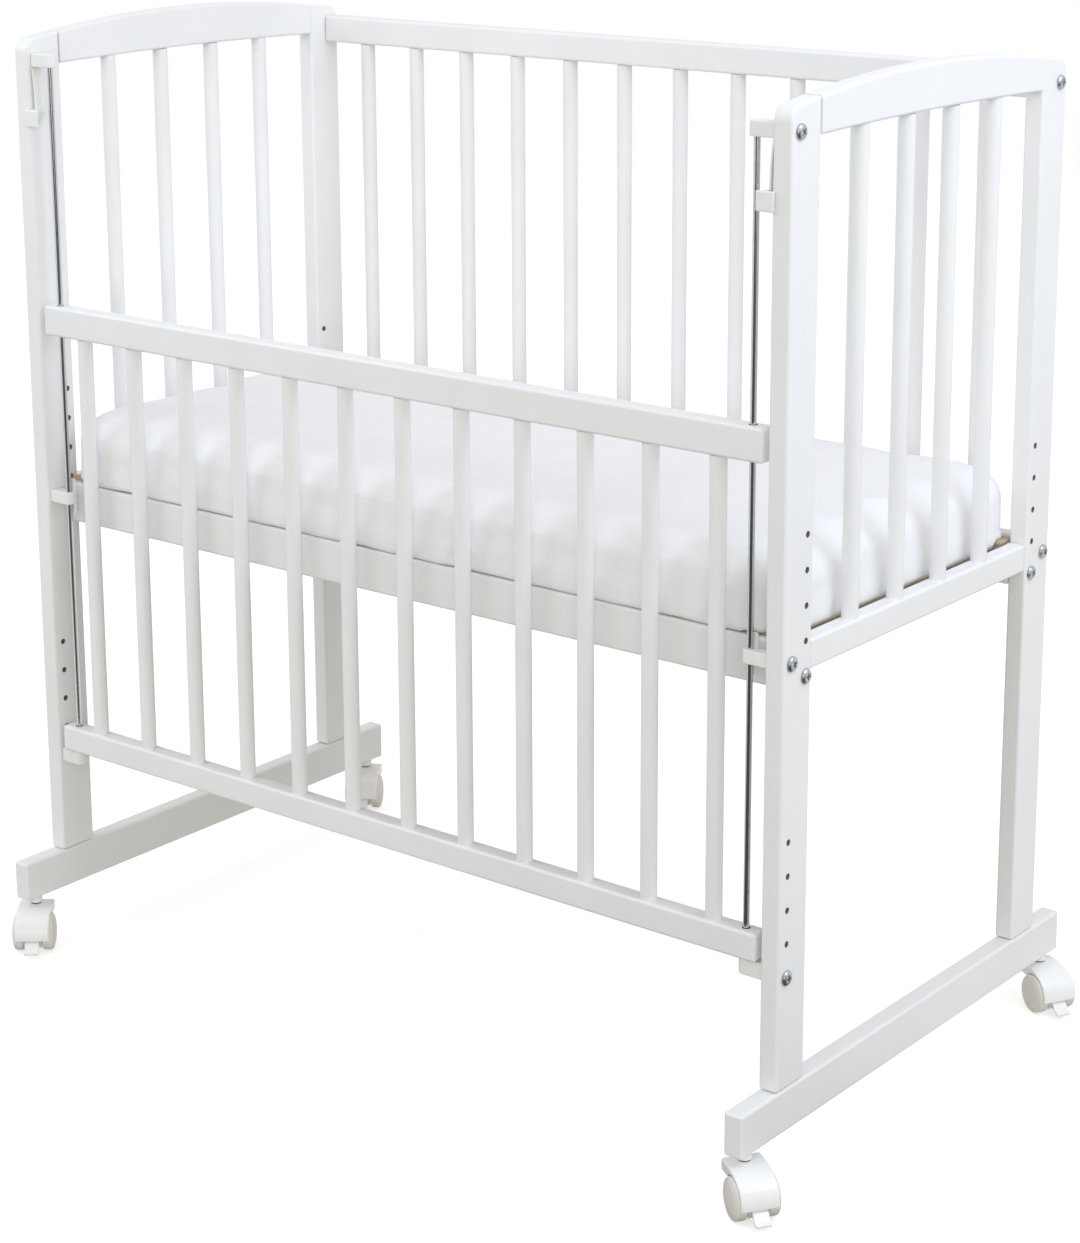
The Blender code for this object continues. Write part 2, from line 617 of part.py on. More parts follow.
def make_fittings():
    """Make the plastic fittings that hold the rods: a top bracket, a guide and a foot bracket each side."""
    for side_name, side in SIDES.items():
        top = above_runners(TOP_BRACKET_TOP)
        name = f"top_bracket_{side_name}"
        bracket = round_edges(fitting(name, side, top - TOP_BRACKET_HEIGHT, top), PAD_EDGE_RADIUS, 1)
        blind_end = top - TOP_BRACKET_HEIGHT / 2 + GAP
        cut(bracket, rod_bore(name, side, top - TOP_BRACKET_HEIGHT - OVERRUN, blind_end),
            fitting_bolt_bore(name, side, TOP_BOLT_HEIGHT))
        moulded(bracket)

        name = f"mid_guide_{side_name}"
        middle = above_runners(MIDDLE_BOLT_HEIGHT)
        low, high = middle - MID_GUIDE_HEIGHT / 2, middle + MID_GUIDE_HEIGHT / 2
        guide = fitting(name, side, low, high)
        back = DROP_Y + FITTING_WIDTH / 2
        tab_in, tab_out = ROD_X * side - MID_GUIDE_TAB_WIDTH / 2, ROD_X * side + MID_GUIDE_TAB_WIDTH / 2
        tab = box(f"{name}_tab", (tab_in, back - MID_GUIDE_TAB_THICK, low - MID_GUIDE_TAB_BELOW),
                  (tab_out, back - GAP, high + MID_GUIDE_TAB_ABOVE))
        join(guide, tab)
        cut(guide, rod_bore(name, side, low - OVERRUN, high + OVERRUN),
            fitting_bolt_bore(name, side, MIDDLE_BOLT_HEIGHT))
        moulded(guide)

        name = f"foot_bracket_{side_name}"
        top = above_runners(FOOT_BRACKET_TOP)
        foot = fitting(name, side, top - FOOT_BRACKET_HEIGHT, top)
        low = top - FOOT_BRACKET_HEIGHT / 2 - GAP
        cut(foot, rod_bore(name, side, low, top + OVERRUN), fitting_bolt_bore(name, side, FOOT_BOLT_HEIGHT))
        moulded(foot)


def make_drop_side():
    """Make the sliding side: a top rail, and a bottom rail with spindles, on one moving empty."""
    bottom = above_runners(DROP_BOTTOM)
    slide = bpy.data.objects.new("drop_side_slide", None)
    slide.location = (0, DROP_Y, bottom)
    bpy.context.scene.collection.objects.link(slide)
    top_rail_low = DROP_SIDE_HEIGHT - DROP_TOP_RAIL_HEIGHT
    upper = make_long_rail("drop_side_top_rail", DROP_RAIL_LENGTH, 0, DROP_RAIL_THICK,
                           DROP_SIDE_HEIGHT, DROP_TOP_RAIL_HEIGHT)
    lower = make_long_rail("drop_side_grille", DROP_RAIL_LENGTH, 0, DROP_RAIL_THICK,
                           DROP_BOTTOM_RAIL_HEIGHT, DROP_BOTTOM_RAIL_HEIGHT)
    join_spindles(lower, 0, DROP_BOTTOM_RAIL_HEIGHT / 2, top_rail_low - GAP)
    places = [(ROD_X * side, 0) for side in SIDES.values()]
    for rail, low, high in ((upper, top_rail_low, DROP_SIDE_HEIGHT), (lower, 0, DROP_BOTTOM_RAIL_HEIGHT)):
        holes = cylinders(f"{rail.name}_rod_holes", places, ROD_DIAMETER / 2 + ROD_CLEARANCE,
                          low - OVERRUN, high + OVERRUN, 12)
        cut(rail, holes)
        painted(rail)
        for piece in [rail, *(step.object for step in rail.modifiers if step.type == "BOOLEAN")]:
            piece.parent = slide


def make_latches():
    """Make the two spring latches: a bowed leaf, a thumb pad and the tooth that carries the raised rail."""
    top = TOP_BRACKET_TOP - TOP_BRACKET_HEIGHT - GAP
    rail_end = DROP_RAIL_LENGTH / 2
    leaf_out = INNER_X - LEAF_TOP_INSET
    pivot = Vector((leaf_out - LEAF_THICK / 2, DROP_Y, above_runners(top)))
    width = FITTING_WIDTH / 2
    pad_back = FRONT_Y - PAD_PROUD + PAD_THICK - DROP_Y
    pad_out = leaf_out + PAD_REACH - pivot.x
    for side_name, side in SIDES.items():
        name = f"latch_{side_name}"
        steps = [index / LEAF_STEPS for index in range(LEAF_STEPS + 1)]
        outer = [(LEAF_THICK / 2 - LEAF_BOW * step ** LEAF_BOW_POWER, -LEAF_LENGTH * step)
                 for step in steps]
        inner = [(x - LEAF_THICK, z) for x, z in reversed(outer)]
        leaf = prism(name, [(x * side, z) for x, z in outer + inner], -width, width, "XZ")
        foot_x = LEAF_THICK / 2 - LEAF_BOW
        tooth_top = -LEAF_LENGTH + TOOTH_HEIGHT
        tooth_in = rail_end - TOOTH_REACH - pivot.x
        tooth = [(foot_x, tooth_top), (tooth_in, tooth_top), (tooth_in, tooth_top - TOOTH_POINT),
                 (foot_x - LEAF_THICK, tooth_top - TOOTH_HEIGHT), (foot_x, tooth_top - TOOTH_HEIGHT)]
        catch = prism(f"{name}_tooth", [(x * side, z) for x, z in tooth], pad_back - BITE,
                      pad_back + TOOTH_DEPTH, "XZ")
        ends = sorted((side * (pad_out - PAD_WIDTH), side * pad_out))
        pad = box(f"{name}_pad", (ends[0], pad_back - PAD_THICK, tooth_top - PAD_HEIGHT),
                  (ends[1], pad_back, tooth_top))
        latch = join(leaf, catch, round_edges(pad, PAD_EDGE_RADIUS, 1))
        for piece in (latch, catch, pad):
            piece.location = (pivot.x * side, pivot.y, pivot.z)
        moulded(latch)


def make_bolt_mesh(name, reach):
    """Return the mesh of a bolt that points along -X from its head, past a post."""
    shank = POST_THICK + GAP + reach
    head, socket = BOLT_HEAD_DIAMETER / 2, BOLT_SOCKET_DIAMETER / 2
    profile = [(BOLT_HEAD_HEIGHT - BOLT_SOCKET_DEPTH, 0), (BOLT_HEAD_HEIGHT - BOLT_SOCKET_DEPTH, socket),
               (BOLT_HEAD_HEIGHT, socket), (BOLT_HEAD_HEIGHT, head - 2 * BOLT_HEAD_RIM),
               (BOLT_HEAD_STEP, head), (0, head), (0, BOLT_DIAMETER / 2), (-shank, BOLT_DIAMETER / 2),
               (-shank, 0)]
    return evaluated(turned(name, profile, 8))


def make_bolts():
    """Make the bolts through the posts, all but the small pair at the front posts' feet."""
    meshes = {WOOD_BOLT_REACH: make_bolt_mesh("wood_bolt", WOOD_BOLT_REACH),
              FITTING_BOLT_REACH: make_bolt_mesh("fitting_bolt", FITTING_BOLT_REACH)}
    kinds = (("top_bolt", OUTER_BOLT_INSET, TOP_BOLT_HEIGHT),
             ("middle_bolt", OUTER_BOLT_INSET, MIDDLE_BOLT_HEIGHT),
             ("base_bolt", INNER_BOLT_INSET, BASE_BOLT_HEIGHT))
    for end_name, end in (("front", -1), ("back", 1)):
        for side_name, side in SIDES.items():
            for kind, inset, height in kinds:
                into_fitting = end < 0 and inset == OUTER_BOLT_INSET
                mesh = meshes[FITTING_BOLT_REACH if into_fitting else WOOD_BOLT_REACH]
                bolt = bpy.data.objects.new(f"{kind}_{end_name}_{side_name}", mesh.copy())
                bolt.location = (side * (FRAME_LENGTH / 2 + GAP), end * (FRAME_DEPTH / 2 - inset),
                                 above_runners(height))
                bolt.rotation_euler = (0, 0, 0 if side > 0 else math.pi)
                bpy.context.scene.collection.objects.link(bolt)
                finish(bolt, ZINC, 0.35, 1.0)


def wheel_mesh():
    """Return a wheel's mesh, turned about X, with its outer face at +X and a blind bore behind.

    The tread's flats, not its corners, lie at the wheel's radius, so that it stands on one.
    """
    half = WHEEL_WIDTH / 2
    bore = AXLE_DIAMETER / 2 + PIN_CLEARANCE
    dish_out = WHEEL_RADIUS - WHEEL_SHOULDER
    dish_in = dish_out - WHEEL_DISH_WIDTH
    profile = [(half - AXLE_TIP_WALL, 0), (half - AXLE_TIP_WALL, bore), (-half, bore),
               (-half, WHEEL_RADIUS - WHEEL_SHOULDER / 2), (-half + WHEEL_SHOULDER / 2, WHEEL_RADIUS),
               (half - WHEEL_SHOULDER, WHEEL_RADIUS), (half, dish_out),
               (half - WHEEL_DISH_DEPTH, dish_out - WHEEL_DISH_DEPTH),
               (half - WHEEL_DISH_DEPTH, dish_in), (half, dish_in - WHEEL_DISH_DEPTH), (half, 0)]
    corner_share = 1 / math.cos(math.pi / WHEEL_SIDES)
    profile = [(along, radius * corner_share) for along, radius in profile]
    return evaluated(turned("wheel", profile, WHEEL_SIDES))


def hood_sector(name, radius, start, end, width, steps):
    """Return a slice of a disc about the axle, as wide as given."""
    axle = (-CASTER_TRAIL, WHEEL_RADIUS)
    outline = [axle, *arc(axle, radius, start, end, steps)]
    return prism(name, outline, -width / 2, width / 2)


def lever_pivot():
    """Return the brake lever's pivot in the caster's own Y and Z."""
    return (-CASTER_TRAIL + LEVER_PIVOT_RADIUS * math.cos(LEVER_PIVOT_ANGLE),
            WHEEL_RADIUS + LEVER_PIVOT_RADIUS * math.sin(LEVER_PIVOT_ANGLE))


def hood_mesh():
    """Return the caster hood's mesh: a fender over both wheels on a web with the stem's socket."""
    axle = (-CASTER_TRAIL, WHEEL_RADIUS)
    well_radius = WHEEL_RADIUS + HOOD_CLEARANCE
    web_width = WHEEL_TRACK - WHEEL_WIDTH - 2 * HOOD_SIDE_CLEARANCE
    top = CASTER_HEIGHT - HOOD_TOP_GAP
    fender = hood_sector("hood", well_radius + HOOD_WALL, HOOD_REAR_ANGLE, HOOD_FRONT_ANGLE, HOOD_WIDTH, 10)
    web = hood_sector("hood_web", well_radius - HOOD_CLEARANCE / 2, WEB_REAR_ANGLE,
                      WEB_FRONT_ANGLE, web_width + 2 * BITE, 8)
    shoulder_back = HOOD_SOCKET_DIAMETER / 2 + HOOD_WALL
    shoulder_low = top - HOOD_SHOULDER_HEIGHT
    shoulder_outline = [(-HOOD_SHOULDER_FRONT, shoulder_low), (shoulder_back, shoulder_low),
                        (shoulder_back, top - HOOD_WALL), (shoulder_back - HOOD_WALL, top),
                        (HOOD_WALL - HOOD_SHOULDER_FRONT, top), (-HOOD_SHOULDER_FRONT, top - HOOD_WALL)]
    shoulder = prism("hood_shoulder", shoulder_outline, -HOOD_SHOULDER_WIDTH / 2, HOOD_SHOULDER_WIDTH / 2)
    boss = cylinders("hood_boss", [axle], HOOD_BOSS_DIAMETER / 2, -web_width / 2 - BITE / 2,
                     web_width / 2 + BITE / 2, 10, "X")
    socket_low = top - HOOD_SOCKET_DEPTH - HOOD_SOCKET_WALL
    socket = cylinders("hood_socket", [(0, 0)], HOOD_SOCKET_DIAMETER / 2, socket_low, top - BITE, 12)
    wells = [cylinders("hood_well", [axle], well_radius, *sorted((side * web_width / 2, side * HOOD_WIDTH)),
                       20, "X") for side in (-1, 1)]
    bore = cylinders("hood_bore", [(0, 0)], STEM_DIAMETER / 2 + PIN_CLEARANCE, top - HOOD_SOCKET_DEPTH,
                     top + OVERRUN, 10)
    pivot = lever_pivot()
    pocket_outline = arc(pivot, POCKET_RADIUS, -math.pi / 3, math.radians(150), 6)
    pocket_outline += [(pivot[0] - POCKET_REACH, pivot[1] + POCKET_RISE),
                       (pivot[0] - POCKET_REACH, pivot[1] - POCKET_DEPTH),
                       (pivot[0] + POCKET_RADIUS / 2, pivot[1] - POCKET_DEPTH)]
    pocket_half = LEVER_WIDTH / 2 + LEVER_SIDE_CLEARANCE
    pocket = prism("hood_pocket", pocket_outline, -pocket_half, pocket_half)
    pin_half = pocket_half + LEVER_PIN_REACH + GAP
    pin_hole = cylinders("hood_pin_hole", [pivot], LEVER_PIN_RADIUS + PIN_CLEARANCE, -pin_half, pin_half,
                         8, "X")
    axle_half = WHEEL_TRACK / 2 + WHEEL_WIDTH / 2 - AXLE_TIP_WALL - PIN_CLEARANCE
    pin = cylinders("hood_axle", [axle], AXLE_DIAMETER / 2, -axle_half, axle_half, 8, "X")
    join(fender, web, shoulder, boss, socket)
    cut(fender, *wells, bore, pocket, pin_hole)
    return evaluated(join(fender, pin))


def lever_mesh():
    """Return the brake lever's mesh about its pivot: a barrel with two pins and a foot plate."""
    barrel = arc((0, 0), LEVER_BARREL_RADIUS, -math.radians(50), math.radians(144), 6)
    top = [(-LEVER_NECK, 0), (-LEVER_BEND, -LEVER_BEND_DROP), (-LEVER_LENGTH, -LEVER_DROP)]
    under = [(-LEVER_LENGTH + LEVER_THICK / 3, -LEVER_DROP - LEVER_THICK),
             (-LEVER_BEND + LEVER_THICK / 2, -LEVER_BEND_DROP - LEVER_THICK), (-LEVER_NECK / 2, -LEVER_THICK)]
    lever = prism("lever", [*barrel, *top, *under], -LEVER_WIDTH / 2, LEVER_WIDTH / 2)
    pin_half = LEVER_WIDTH / 2 + LEVER_SIDE_CLEARANCE + LEVER_PIN_REACH
    pins = cylinders("lever_pins", [(0, 0)], LEVER_PIN_RADIUS, -pin_half, pin_half, 8, "X")
    return evaluated(join(lever, pins))


def stem_mesh():
    """Return the steel stem's mesh: a pin in hood and runner with a collar between them."""
    pin, collar = STEM_DIAMETER / 2, STEM_COLLAR_DIAMETER / 2
    hood_top = CASTER_HEIGHT - HOOD_TOP_GAP
    profile = [(hood_top - HOOD_SOCKET_DEPTH + GAP, 0), (hood_top - HOOD_SOCKET_DEPTH + GAP, pin),
               (hood_top + GAP, pin), (hood_top + GAP, collar), (CASTER_HEIGHT - GAP, collar),
               (CASTER_HEIGHT - GAP, pin), (CASTER_HEIGHT + STEM_REACH, pin), (CASTER_HEIGHT + STEM_REACH, 0)]
    return evaluated(turned("stem", profile, 10, "Z"))


def add_piece(name, mesh, place, parent=None, turn=0.0):
    """Add an object that holds its own copy of a mesh."""
    piece = bpy.data.objects.new(name, mesh.copy())
    piece.location = place
    piece.rotation_euler = (0, 0, turn)
    piece.parent = parent
    bpy.context.scene.collection.objects.link(piece)
    return piece


def make_casters():
    """Make four casters, each a stem, a swivelling hood, two wheels and a brake lever."""
    stem, hood, wheel, lever = stem_mesh(), hood_mesh(), wheel_mesh(), lever_mesh()
    pivot = lever_pivot()
    for end_name, end in (("front", -1), ("back", 1)):
        for side_name, side in SIDES.items():
            place = f"{end_name}_{side_name}"
            foot = (END_X * side, end * (RUNNER_LENGTH / 2 - CASTER_INSET), 0)
            finish(add_piece(f"caster_stem_{place}", stem, foot), ZINC, 0.3, 1.0)
            turning = add_piece(f"caster_hood_{place}", hood, foot, turn=CASTER_HEADINGS[place])
            moulded(turning)
            for label, way in (("a", -1), ("b", 1)):
                spot = (way * WHEEL_TRACK / 2, -CASTER_TRAIL, WHEEL_RADIUS)
                turn = 0.0 if way > 0 else math.pi
                rolling = add_piece(f"caster_wheel_{place}_{label}", wheel, spot, turning, turn)
                finish(rolling, TREAD_PLASTIC, 0.45)
            moulded(add_piece(f"caster_brake_{place}", lever, (0, *pivot), turning))


def centre_on_floor():
    """Move the whole cot so that the middle of its outline lies on the origin, with the floor at 0."""
    bpy.context.view_layer.update()
    points = [piece.matrix_world @ vert.co for piece in bpy.data.objects
              if piece.type == "MESH" and not piece.hide_render for vert in piece.data.vertices]
    low, high = (Vector([pick(values) for values in zip(*points)]) for pick in (min, max))
    middle = Vector(((low.x + high.x) / 2, (low.y + high.y) / 2, low.z))
    for piece in bpy.data.objects:
        if piece.parent is None:
            piece.location -= middle


def main():
    """Build the cot."""
    for old in list(bpy.data.objects):
        bpy.data.objects.remove(old, do_unlink=True)
    for side_name, side in SIDES.items():
        make_post(f"post_front_{side_name}", side, -1)
        make_post(f"post_back_{side_name}", side, 1)
        make_arch_rail(f"end_arch_rail_{side_name}", side)
        make_end_grille(f"end_grille_{side_name}", side)
        make_runner(f"runner_{side_name}", side)
    make_back_fence()
    make_aprons()
    make_base_board()
    make_mattress()
    make_rods()
    make_fittings()
    make_drop_side()
    make_latches()
    make_bolts()
    make_casters()
    centre_on_floor()


main()
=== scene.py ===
"""Looks of a white wooden bedside cot with a drop side.

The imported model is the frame. Every piece here is built on it, in metres and in its own axes: X
runs along the cot, Y across it with the drop side at -Y, and Z up from the floor. Each sub-assembly
is a class that builds its meshes and dresses them, and each finish is a frozen dataclass.
"""

import logging
import math
import random
from dataclasses import dataclass
from enum import Enum
from typing import Any, Sequence

import bmesh
import bpy
from mathutils import Matrix, Vector, noise


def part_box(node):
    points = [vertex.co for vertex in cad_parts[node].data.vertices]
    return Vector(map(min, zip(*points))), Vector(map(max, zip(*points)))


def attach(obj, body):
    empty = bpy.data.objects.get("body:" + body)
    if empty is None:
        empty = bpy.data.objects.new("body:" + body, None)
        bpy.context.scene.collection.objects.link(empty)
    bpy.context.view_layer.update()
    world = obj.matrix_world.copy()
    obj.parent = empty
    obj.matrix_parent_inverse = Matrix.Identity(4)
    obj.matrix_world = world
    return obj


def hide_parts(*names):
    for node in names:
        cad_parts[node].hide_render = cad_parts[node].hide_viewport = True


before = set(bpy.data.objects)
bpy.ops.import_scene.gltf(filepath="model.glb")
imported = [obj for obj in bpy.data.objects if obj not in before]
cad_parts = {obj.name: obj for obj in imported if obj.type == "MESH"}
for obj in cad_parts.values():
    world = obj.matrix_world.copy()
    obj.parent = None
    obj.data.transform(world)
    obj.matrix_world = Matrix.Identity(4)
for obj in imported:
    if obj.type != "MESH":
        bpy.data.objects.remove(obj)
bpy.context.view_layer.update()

LOG = logging.getLogger("cot")
PLACES = ("front_left", "front_right", "back_left", "back_right")
SIDES = {"left": -1, "right": 1}
WHEELS = {"a": -1, "b": 1}
FRAME_BODY = "cot_frame"
WHITE = (1.0, 1.0, 1.0, 1.0)
MERGE = 1e-6
SHARP = 42.0
Mesh = bpy.types.Mesh
Colour = tuple[float, float, float]
Outline = Sequence[tuple[float, float]]
Places = Sequence[Sequence[float]]


# Trees of nodes, for materials and for geometry


class Tree:
    """A tree of nodes that one method adds to.

    Args:
        nodes: The node tree that the nodes go into.
    """

    def __init__(self, nodes: bpy.types.NodeTree) -> None:
        """Keep the tree."""
        self.nodes = nodes

    def node(self, kind: str, settings: dict[str, Any] | None = None,
             sockets: dict[Any, Any] | None = None) -> bpy.types.Node:
        """Add a node.

        Args:
            kind: The node's type.
            settings: Its settings, set before its sockets; stops are those of a colour ramp.
            sockets: Values, wires or sockets for its inputs, by name or number.

        Returns:
            The new node.
        """
        made = self.nodes.nodes.new(kind)
        for key, value in (settings or {}).items():
            if key == "stops":
                ramp = made.color_ramp.elements
                for index, (spot, shade) in enumerate(value):
                    stop = ramp[index] if index < 2 else ramp.new(spot)
                    stop.position, stop.color = spot, (shade, shade, shade, 1.0)
            else:
                setattr(made, key, value)
        for key, value in (sockets or {}).items():
            if isinstance(value, Wire):
                value = value.socket
            if isinstance(value, bpy.types.NodeSocket):
                self.nodes.links.new(value, made.inputs[key])
            else:
                made.inputs[key].default_value = value
        return made


class Wire:
    """A number's socket, which Python's operators do maths with.

    Args:
        tree: The tree that the maths goes into.
        socket: The output that holds the number.
    """

    def __init__(self, tree: Tree, socket: bpy.types.NodeSocket) -> None:
        """Keep the socket."""
        self.tree, self.socket = tree, socket

    def sum(self, operation: str, *values: Any) -> "Wire":
        """Return the result of a Math node on the values."""
        made = self.tree.node("ShaderNodeMath", {"operation": operation}, dict(enumerate(values)))
        return Wire(self.tree, made.outputs[0])

    def __add__(self, other: Any) -> "Wire":
        """Return self + other."""
        return self.sum("ADD", self, other)

    def __radd__(self, other: Any) -> "Wire":
        """Return other + self."""
        return self.sum("ADD", other, self)

    def __sub__(self, other: Any) -> "Wire":
        """Return self - other."""
        return self.sum("SUBTRACT", self, other)

    def __rsub__(self, other: Any) -> "Wire":
        """Return other - self."""
        return self.sum("SUBTRACT", other, self)

    def __mul__(self, other: Any) -> "Wire":
        """Return self * other."""
        return self.sum("MULTIPLY", self, other)

    def __rmul__(self, other: Any) -> "Wire":
        """Return other * self."""
        return self.sum("MULTIPLY", other, self)


class Grain(Enum):
    """The way that a piece's grain, weave or drawing marks run, as a squeeze of its coordinates."""

    ALONG_X = (0.07, 1.0, 1.0)
    ALONG_Y = (1.0, 0.07, 1.0)
    ALONG_Z = (1.0, 1.0, 0.07)
    NONE = (1.0, 1.0, 1.0)


class Surface(Tree):
    """The node tree of one material.

    Args:
        name: The material's name.
    """

    def __init__(self, name: str) -> None:
        """Make the material with its shader and output."""
        self.material = bpy.data.materials.new(name)
        self.material.use_nodes = True
        super().__init__(self.material.node_tree)
        self.nodes.nodes.clear()
        self.shader = self.node("ShaderNodeBsdfPrincipled")
        self.node("ShaderNodeOutputMaterial", None, {"Surface": self.shader.outputs[0]})
        self.place = self.node("ShaderNodeTexCoord").outputs["Object"]

    def squeezed(self, grain: Grain) -> bpy.types.NodeSocket:
        """Return the piece's own coordinates, squeezed along its grain."""
        return self.node("ShaderNodeMapping", None,
                         {"Vector": self.place, "Scale": grain.value}).outputs[0]

    def noise(self, scale: float, detail: float = 2.0, grain: Grain = Grain.NONE,
              distortion: float = 0.0) -> Wire:
        """Return a noise between 0 and 1.

        Args:
            scale: Its waves to a metre.
            detail: How many finer layers it has.
            grain: The way that it is drawn out.
            distortion: How far it is stirred.

        Returns:
            The noise's wire.
        """
        made = self.node("ShaderNodeTexNoise", None,
                         {"Vector": self.squeezed(grain), "Scale": scale, "Detail": detail,
                          "Distortion": distortion})
        return Wire(self, made.outputs[0])

    def ramp(self, value: Wire, low: float, high: float) -> Wire:
        """Return the value spread so that low becomes 0 and high becomes 1.

        Args:
            value: The wire to spread.
            low: What becomes 0.
            high: What becomes 1.

        Returns:
            The spread wire.
        """
        made = self.node("ShaderNodeMapRange", None,
                         {"Value": value, "From Min": low, "From Max": high})
        return Wire(self, made.outputs[0])

    def paint(self, first: Colour, second: Colour, share: Wire) -> None:
        """Paint the surface in two colours that a share from 0 to 1 mixes.

        Args:
            first: The colour where the share is 0.
            second: The colour where it is 1.
            share: The wire of the share.
        """
        made = self.node("ShaderNodeMix", {"data_type": "RGBA"},
                         {0: share, 6: (*first, 1.0), 7: (*second, 1.0)})
        self.nodes.links.new(made.outputs[2], self.shader.inputs["Base Color"])

    def roughen(self, roughness: Wire) -> None:
        """Let the wire set the surface's roughness."""
        self.nodes.links.new(roughness.socket, self.shader.inputs["Roughness"])

    def emboss(self, height: Wire, depth: float, strength: float) -> None:
        """Give the surface a relief.

        Args:
            height: The relief, from 0 to 1.
            depth: Its depth in metres.
            strength: How much of it shows.
        """
        bump = self.node("ShaderNodeBump", None,
                         {"Height": height, "Distance": depth, "Strength": strength})
        self.nodes.links.new(bump.outputs[0], self.shader.inputs["Normal"])

    def fix(self, **values: float) -> None:
        """Set the shader's own sockets, by name with _ for a space."""
        for key, value in values.items():
            self.shader.inputs[key.replace("_", " ")].default_value = value


# Finishes


@dataclass(frozen=True)
class Finish:
    """What a surface is made of. slot names its material slot, and is not used."""

    name: str
    slot: str
    light: Colour
    dark: Colour
    roughness: float

    def draw(self, surface: Surface, grain: Grain) -> None:
        """Add the finish's nodes to a surface."""
        raise NotImplementedError

    def material(self, grain: Grain = Grain.NONE) -> bpy.types.Material:
        """Return the finish's material for a grain, made once.

        Args:
            grain: The way that the grain runs.

        Returns:
            The material.
        """
        name = f"{self.name}_{grain.name.lower()}"
        known = bpy.data.materials.get(name)
        if known:
            return known
        surface = Surface(name)
        surface.fix(Roughness=self.roughness)
        self.draw(surface, grain)
        return surface.material


@dataclass(frozen=True)
class SatinLacquer(Finish):
    """White satin lacquer on planed beech, through which the grain is just felt."""

    grain_depth: float = 0.00005
    coat: float = 0.12

    def draw(self, surface: Surface, grain: Grain) -> None:
        """Add a soft cloudiness, the fibres' relief and the lacquer's fine skin.

        Args:
            surface: The material's tree of nodes.
            grain: The way that the grain runs.
        """
        cloud = surface.noise(9.0, 3.0)
        fibre = surface.noise(420.0, 4.0, grain, 0.4)
        pore = surface.ramp(surface.noise(1500.0, 1.0, grain), 0.62, 0.72)
        skin = surface.noise(700.0, 1.0)
        surface.paint(self.light, self.dark, surface.ramp(cloud * 0.75 + fibre * 0.25, 0.38, 0.72))
        surface.roughen(self.roughness - 0.04 + fibre * 0.08 + pore * 0.05)
        surface.emboss(fibre * 0.6 + skin * 0.4 - pore * 0.25, self.grain_depth, 0.55)
        surface.fix(Coat_Weight=self.coat, Coat_Roughness=0.28)


@dataclass(frozen=True)
class BareWood(Finish):
    """Raw board and battens, or the drilled wall of a hole, whose darker colours are painted shade.
    """

    def draw(self, surface: Surface, grain: Grain) -> None:
        """Add long fibres and darker bands.

        Args:
            surface: The material's tree of nodes.
            grain: The way that the grain runs.
        """
        band = surface.noise(60.0, 4.0, grain, 1.2)
        fibre = surface.noise(900.0, 3.0, grain, 0.3)
        surface.paint(self.light, self.dark, surface.ramp(band * 0.6 + fibre * 0.4, 0.32, 0.72))
        surface.roughen(self.roughness + fibre * 0.12)
        surface.emboss(fibre + band * 0.4, 0.00018, 0.7)


@dataclass(frozen=True)
class Cotton(Finish):
    """A plain woven cotton cover with the slight crumple of a fitted sheet."""

    thread: float = 0.0007
    sheen: float = 0.22

    def draw(self, surface: Surface, grain: Grain) -> None:
        """Add the threads both ways, their slubs, and shallow creases.

        Args:
            surface: The material's tree of nodes.
            grain: Not heeded, as the threads run both ways.
        """
        upright_place = surface.node("ShaderNodeMapping", None,
                                     {"Vector": surface.place, "Scale": (0.0, 1.0, 1.0)})
        weave = (self.threads(surface, "X", surface.place)
                 * self.threads(surface, "DIAGONAL", upright_place.outputs[0]))
        slub = surface.noise(300.0, 2.0, Grain.ALONG_X)
        crease = surface.noise(26.0, 4.0, Grain.NONE, 1.4)
        surface.paint(self.light, self.dark, surface.ramp(crease * 0.6 + slub * 0.4, 0.35, 0.75))
        surface.roughen(self.roughness + slub * 0.1)
        surface.emboss(weave * 0.10 + slub * 0.08 + crease * 0.9, 0.0011, 0.5)
        surface.fix(Sheen_Weight=self.sheen, Sheen_Roughness=0.5)

    def threads(self, surface: Surface, way: str, place: bpy.types.NodeSocket) -> Wire:
        """Return the waves of the threads that lie side by side along a way.

        Args:
            surface: The material's tree of nodes.
            way: X or DIAGONAL.
            place: The coordinates that the waves are laid in.

        Returns:
            The waves' wire.
        """
        made = surface.node("ShaderNodeTexWave", {"bands_direction": way, "wave_profile": "SIN"},
                            {"Vector": place, "Scale": 1.0 / self.thread / 20, "Distortion": 0.6,
                             "Detail Scale": 2.0})
        return Wire(surface, made.outputs[1])


@dataclass(frozen=True)
class Moulding(Finish):
    """White moulded plastic."""

    skin: float = 0.00002
    coat: float = 0.0

    def draw(self, surface: Surface, grain: Grain) -> None:
        """Add the mould's fine skin and slow flow marks.

        Args:
            surface: The material's tree of nodes.
            grain: The way that the plastic flowed.
        """
        flow = surface.noise(55.0, 2.0, grain, 0.8)
        skin = surface.noise(1400.0, 1.0)
        surface.paint(self.light, self.dark, surface.ramp(flow, 0.35, 0.75))
        surface.roughen(self.roughness - 0.03 + flow * 0.06 + skin * 0.03)
        surface.emboss(skin * 0.7 + flow * 0.3, self.skin, 0.6)
        surface.fix(Coat_Weight=self.coat, Coat_Roughness=0.1)


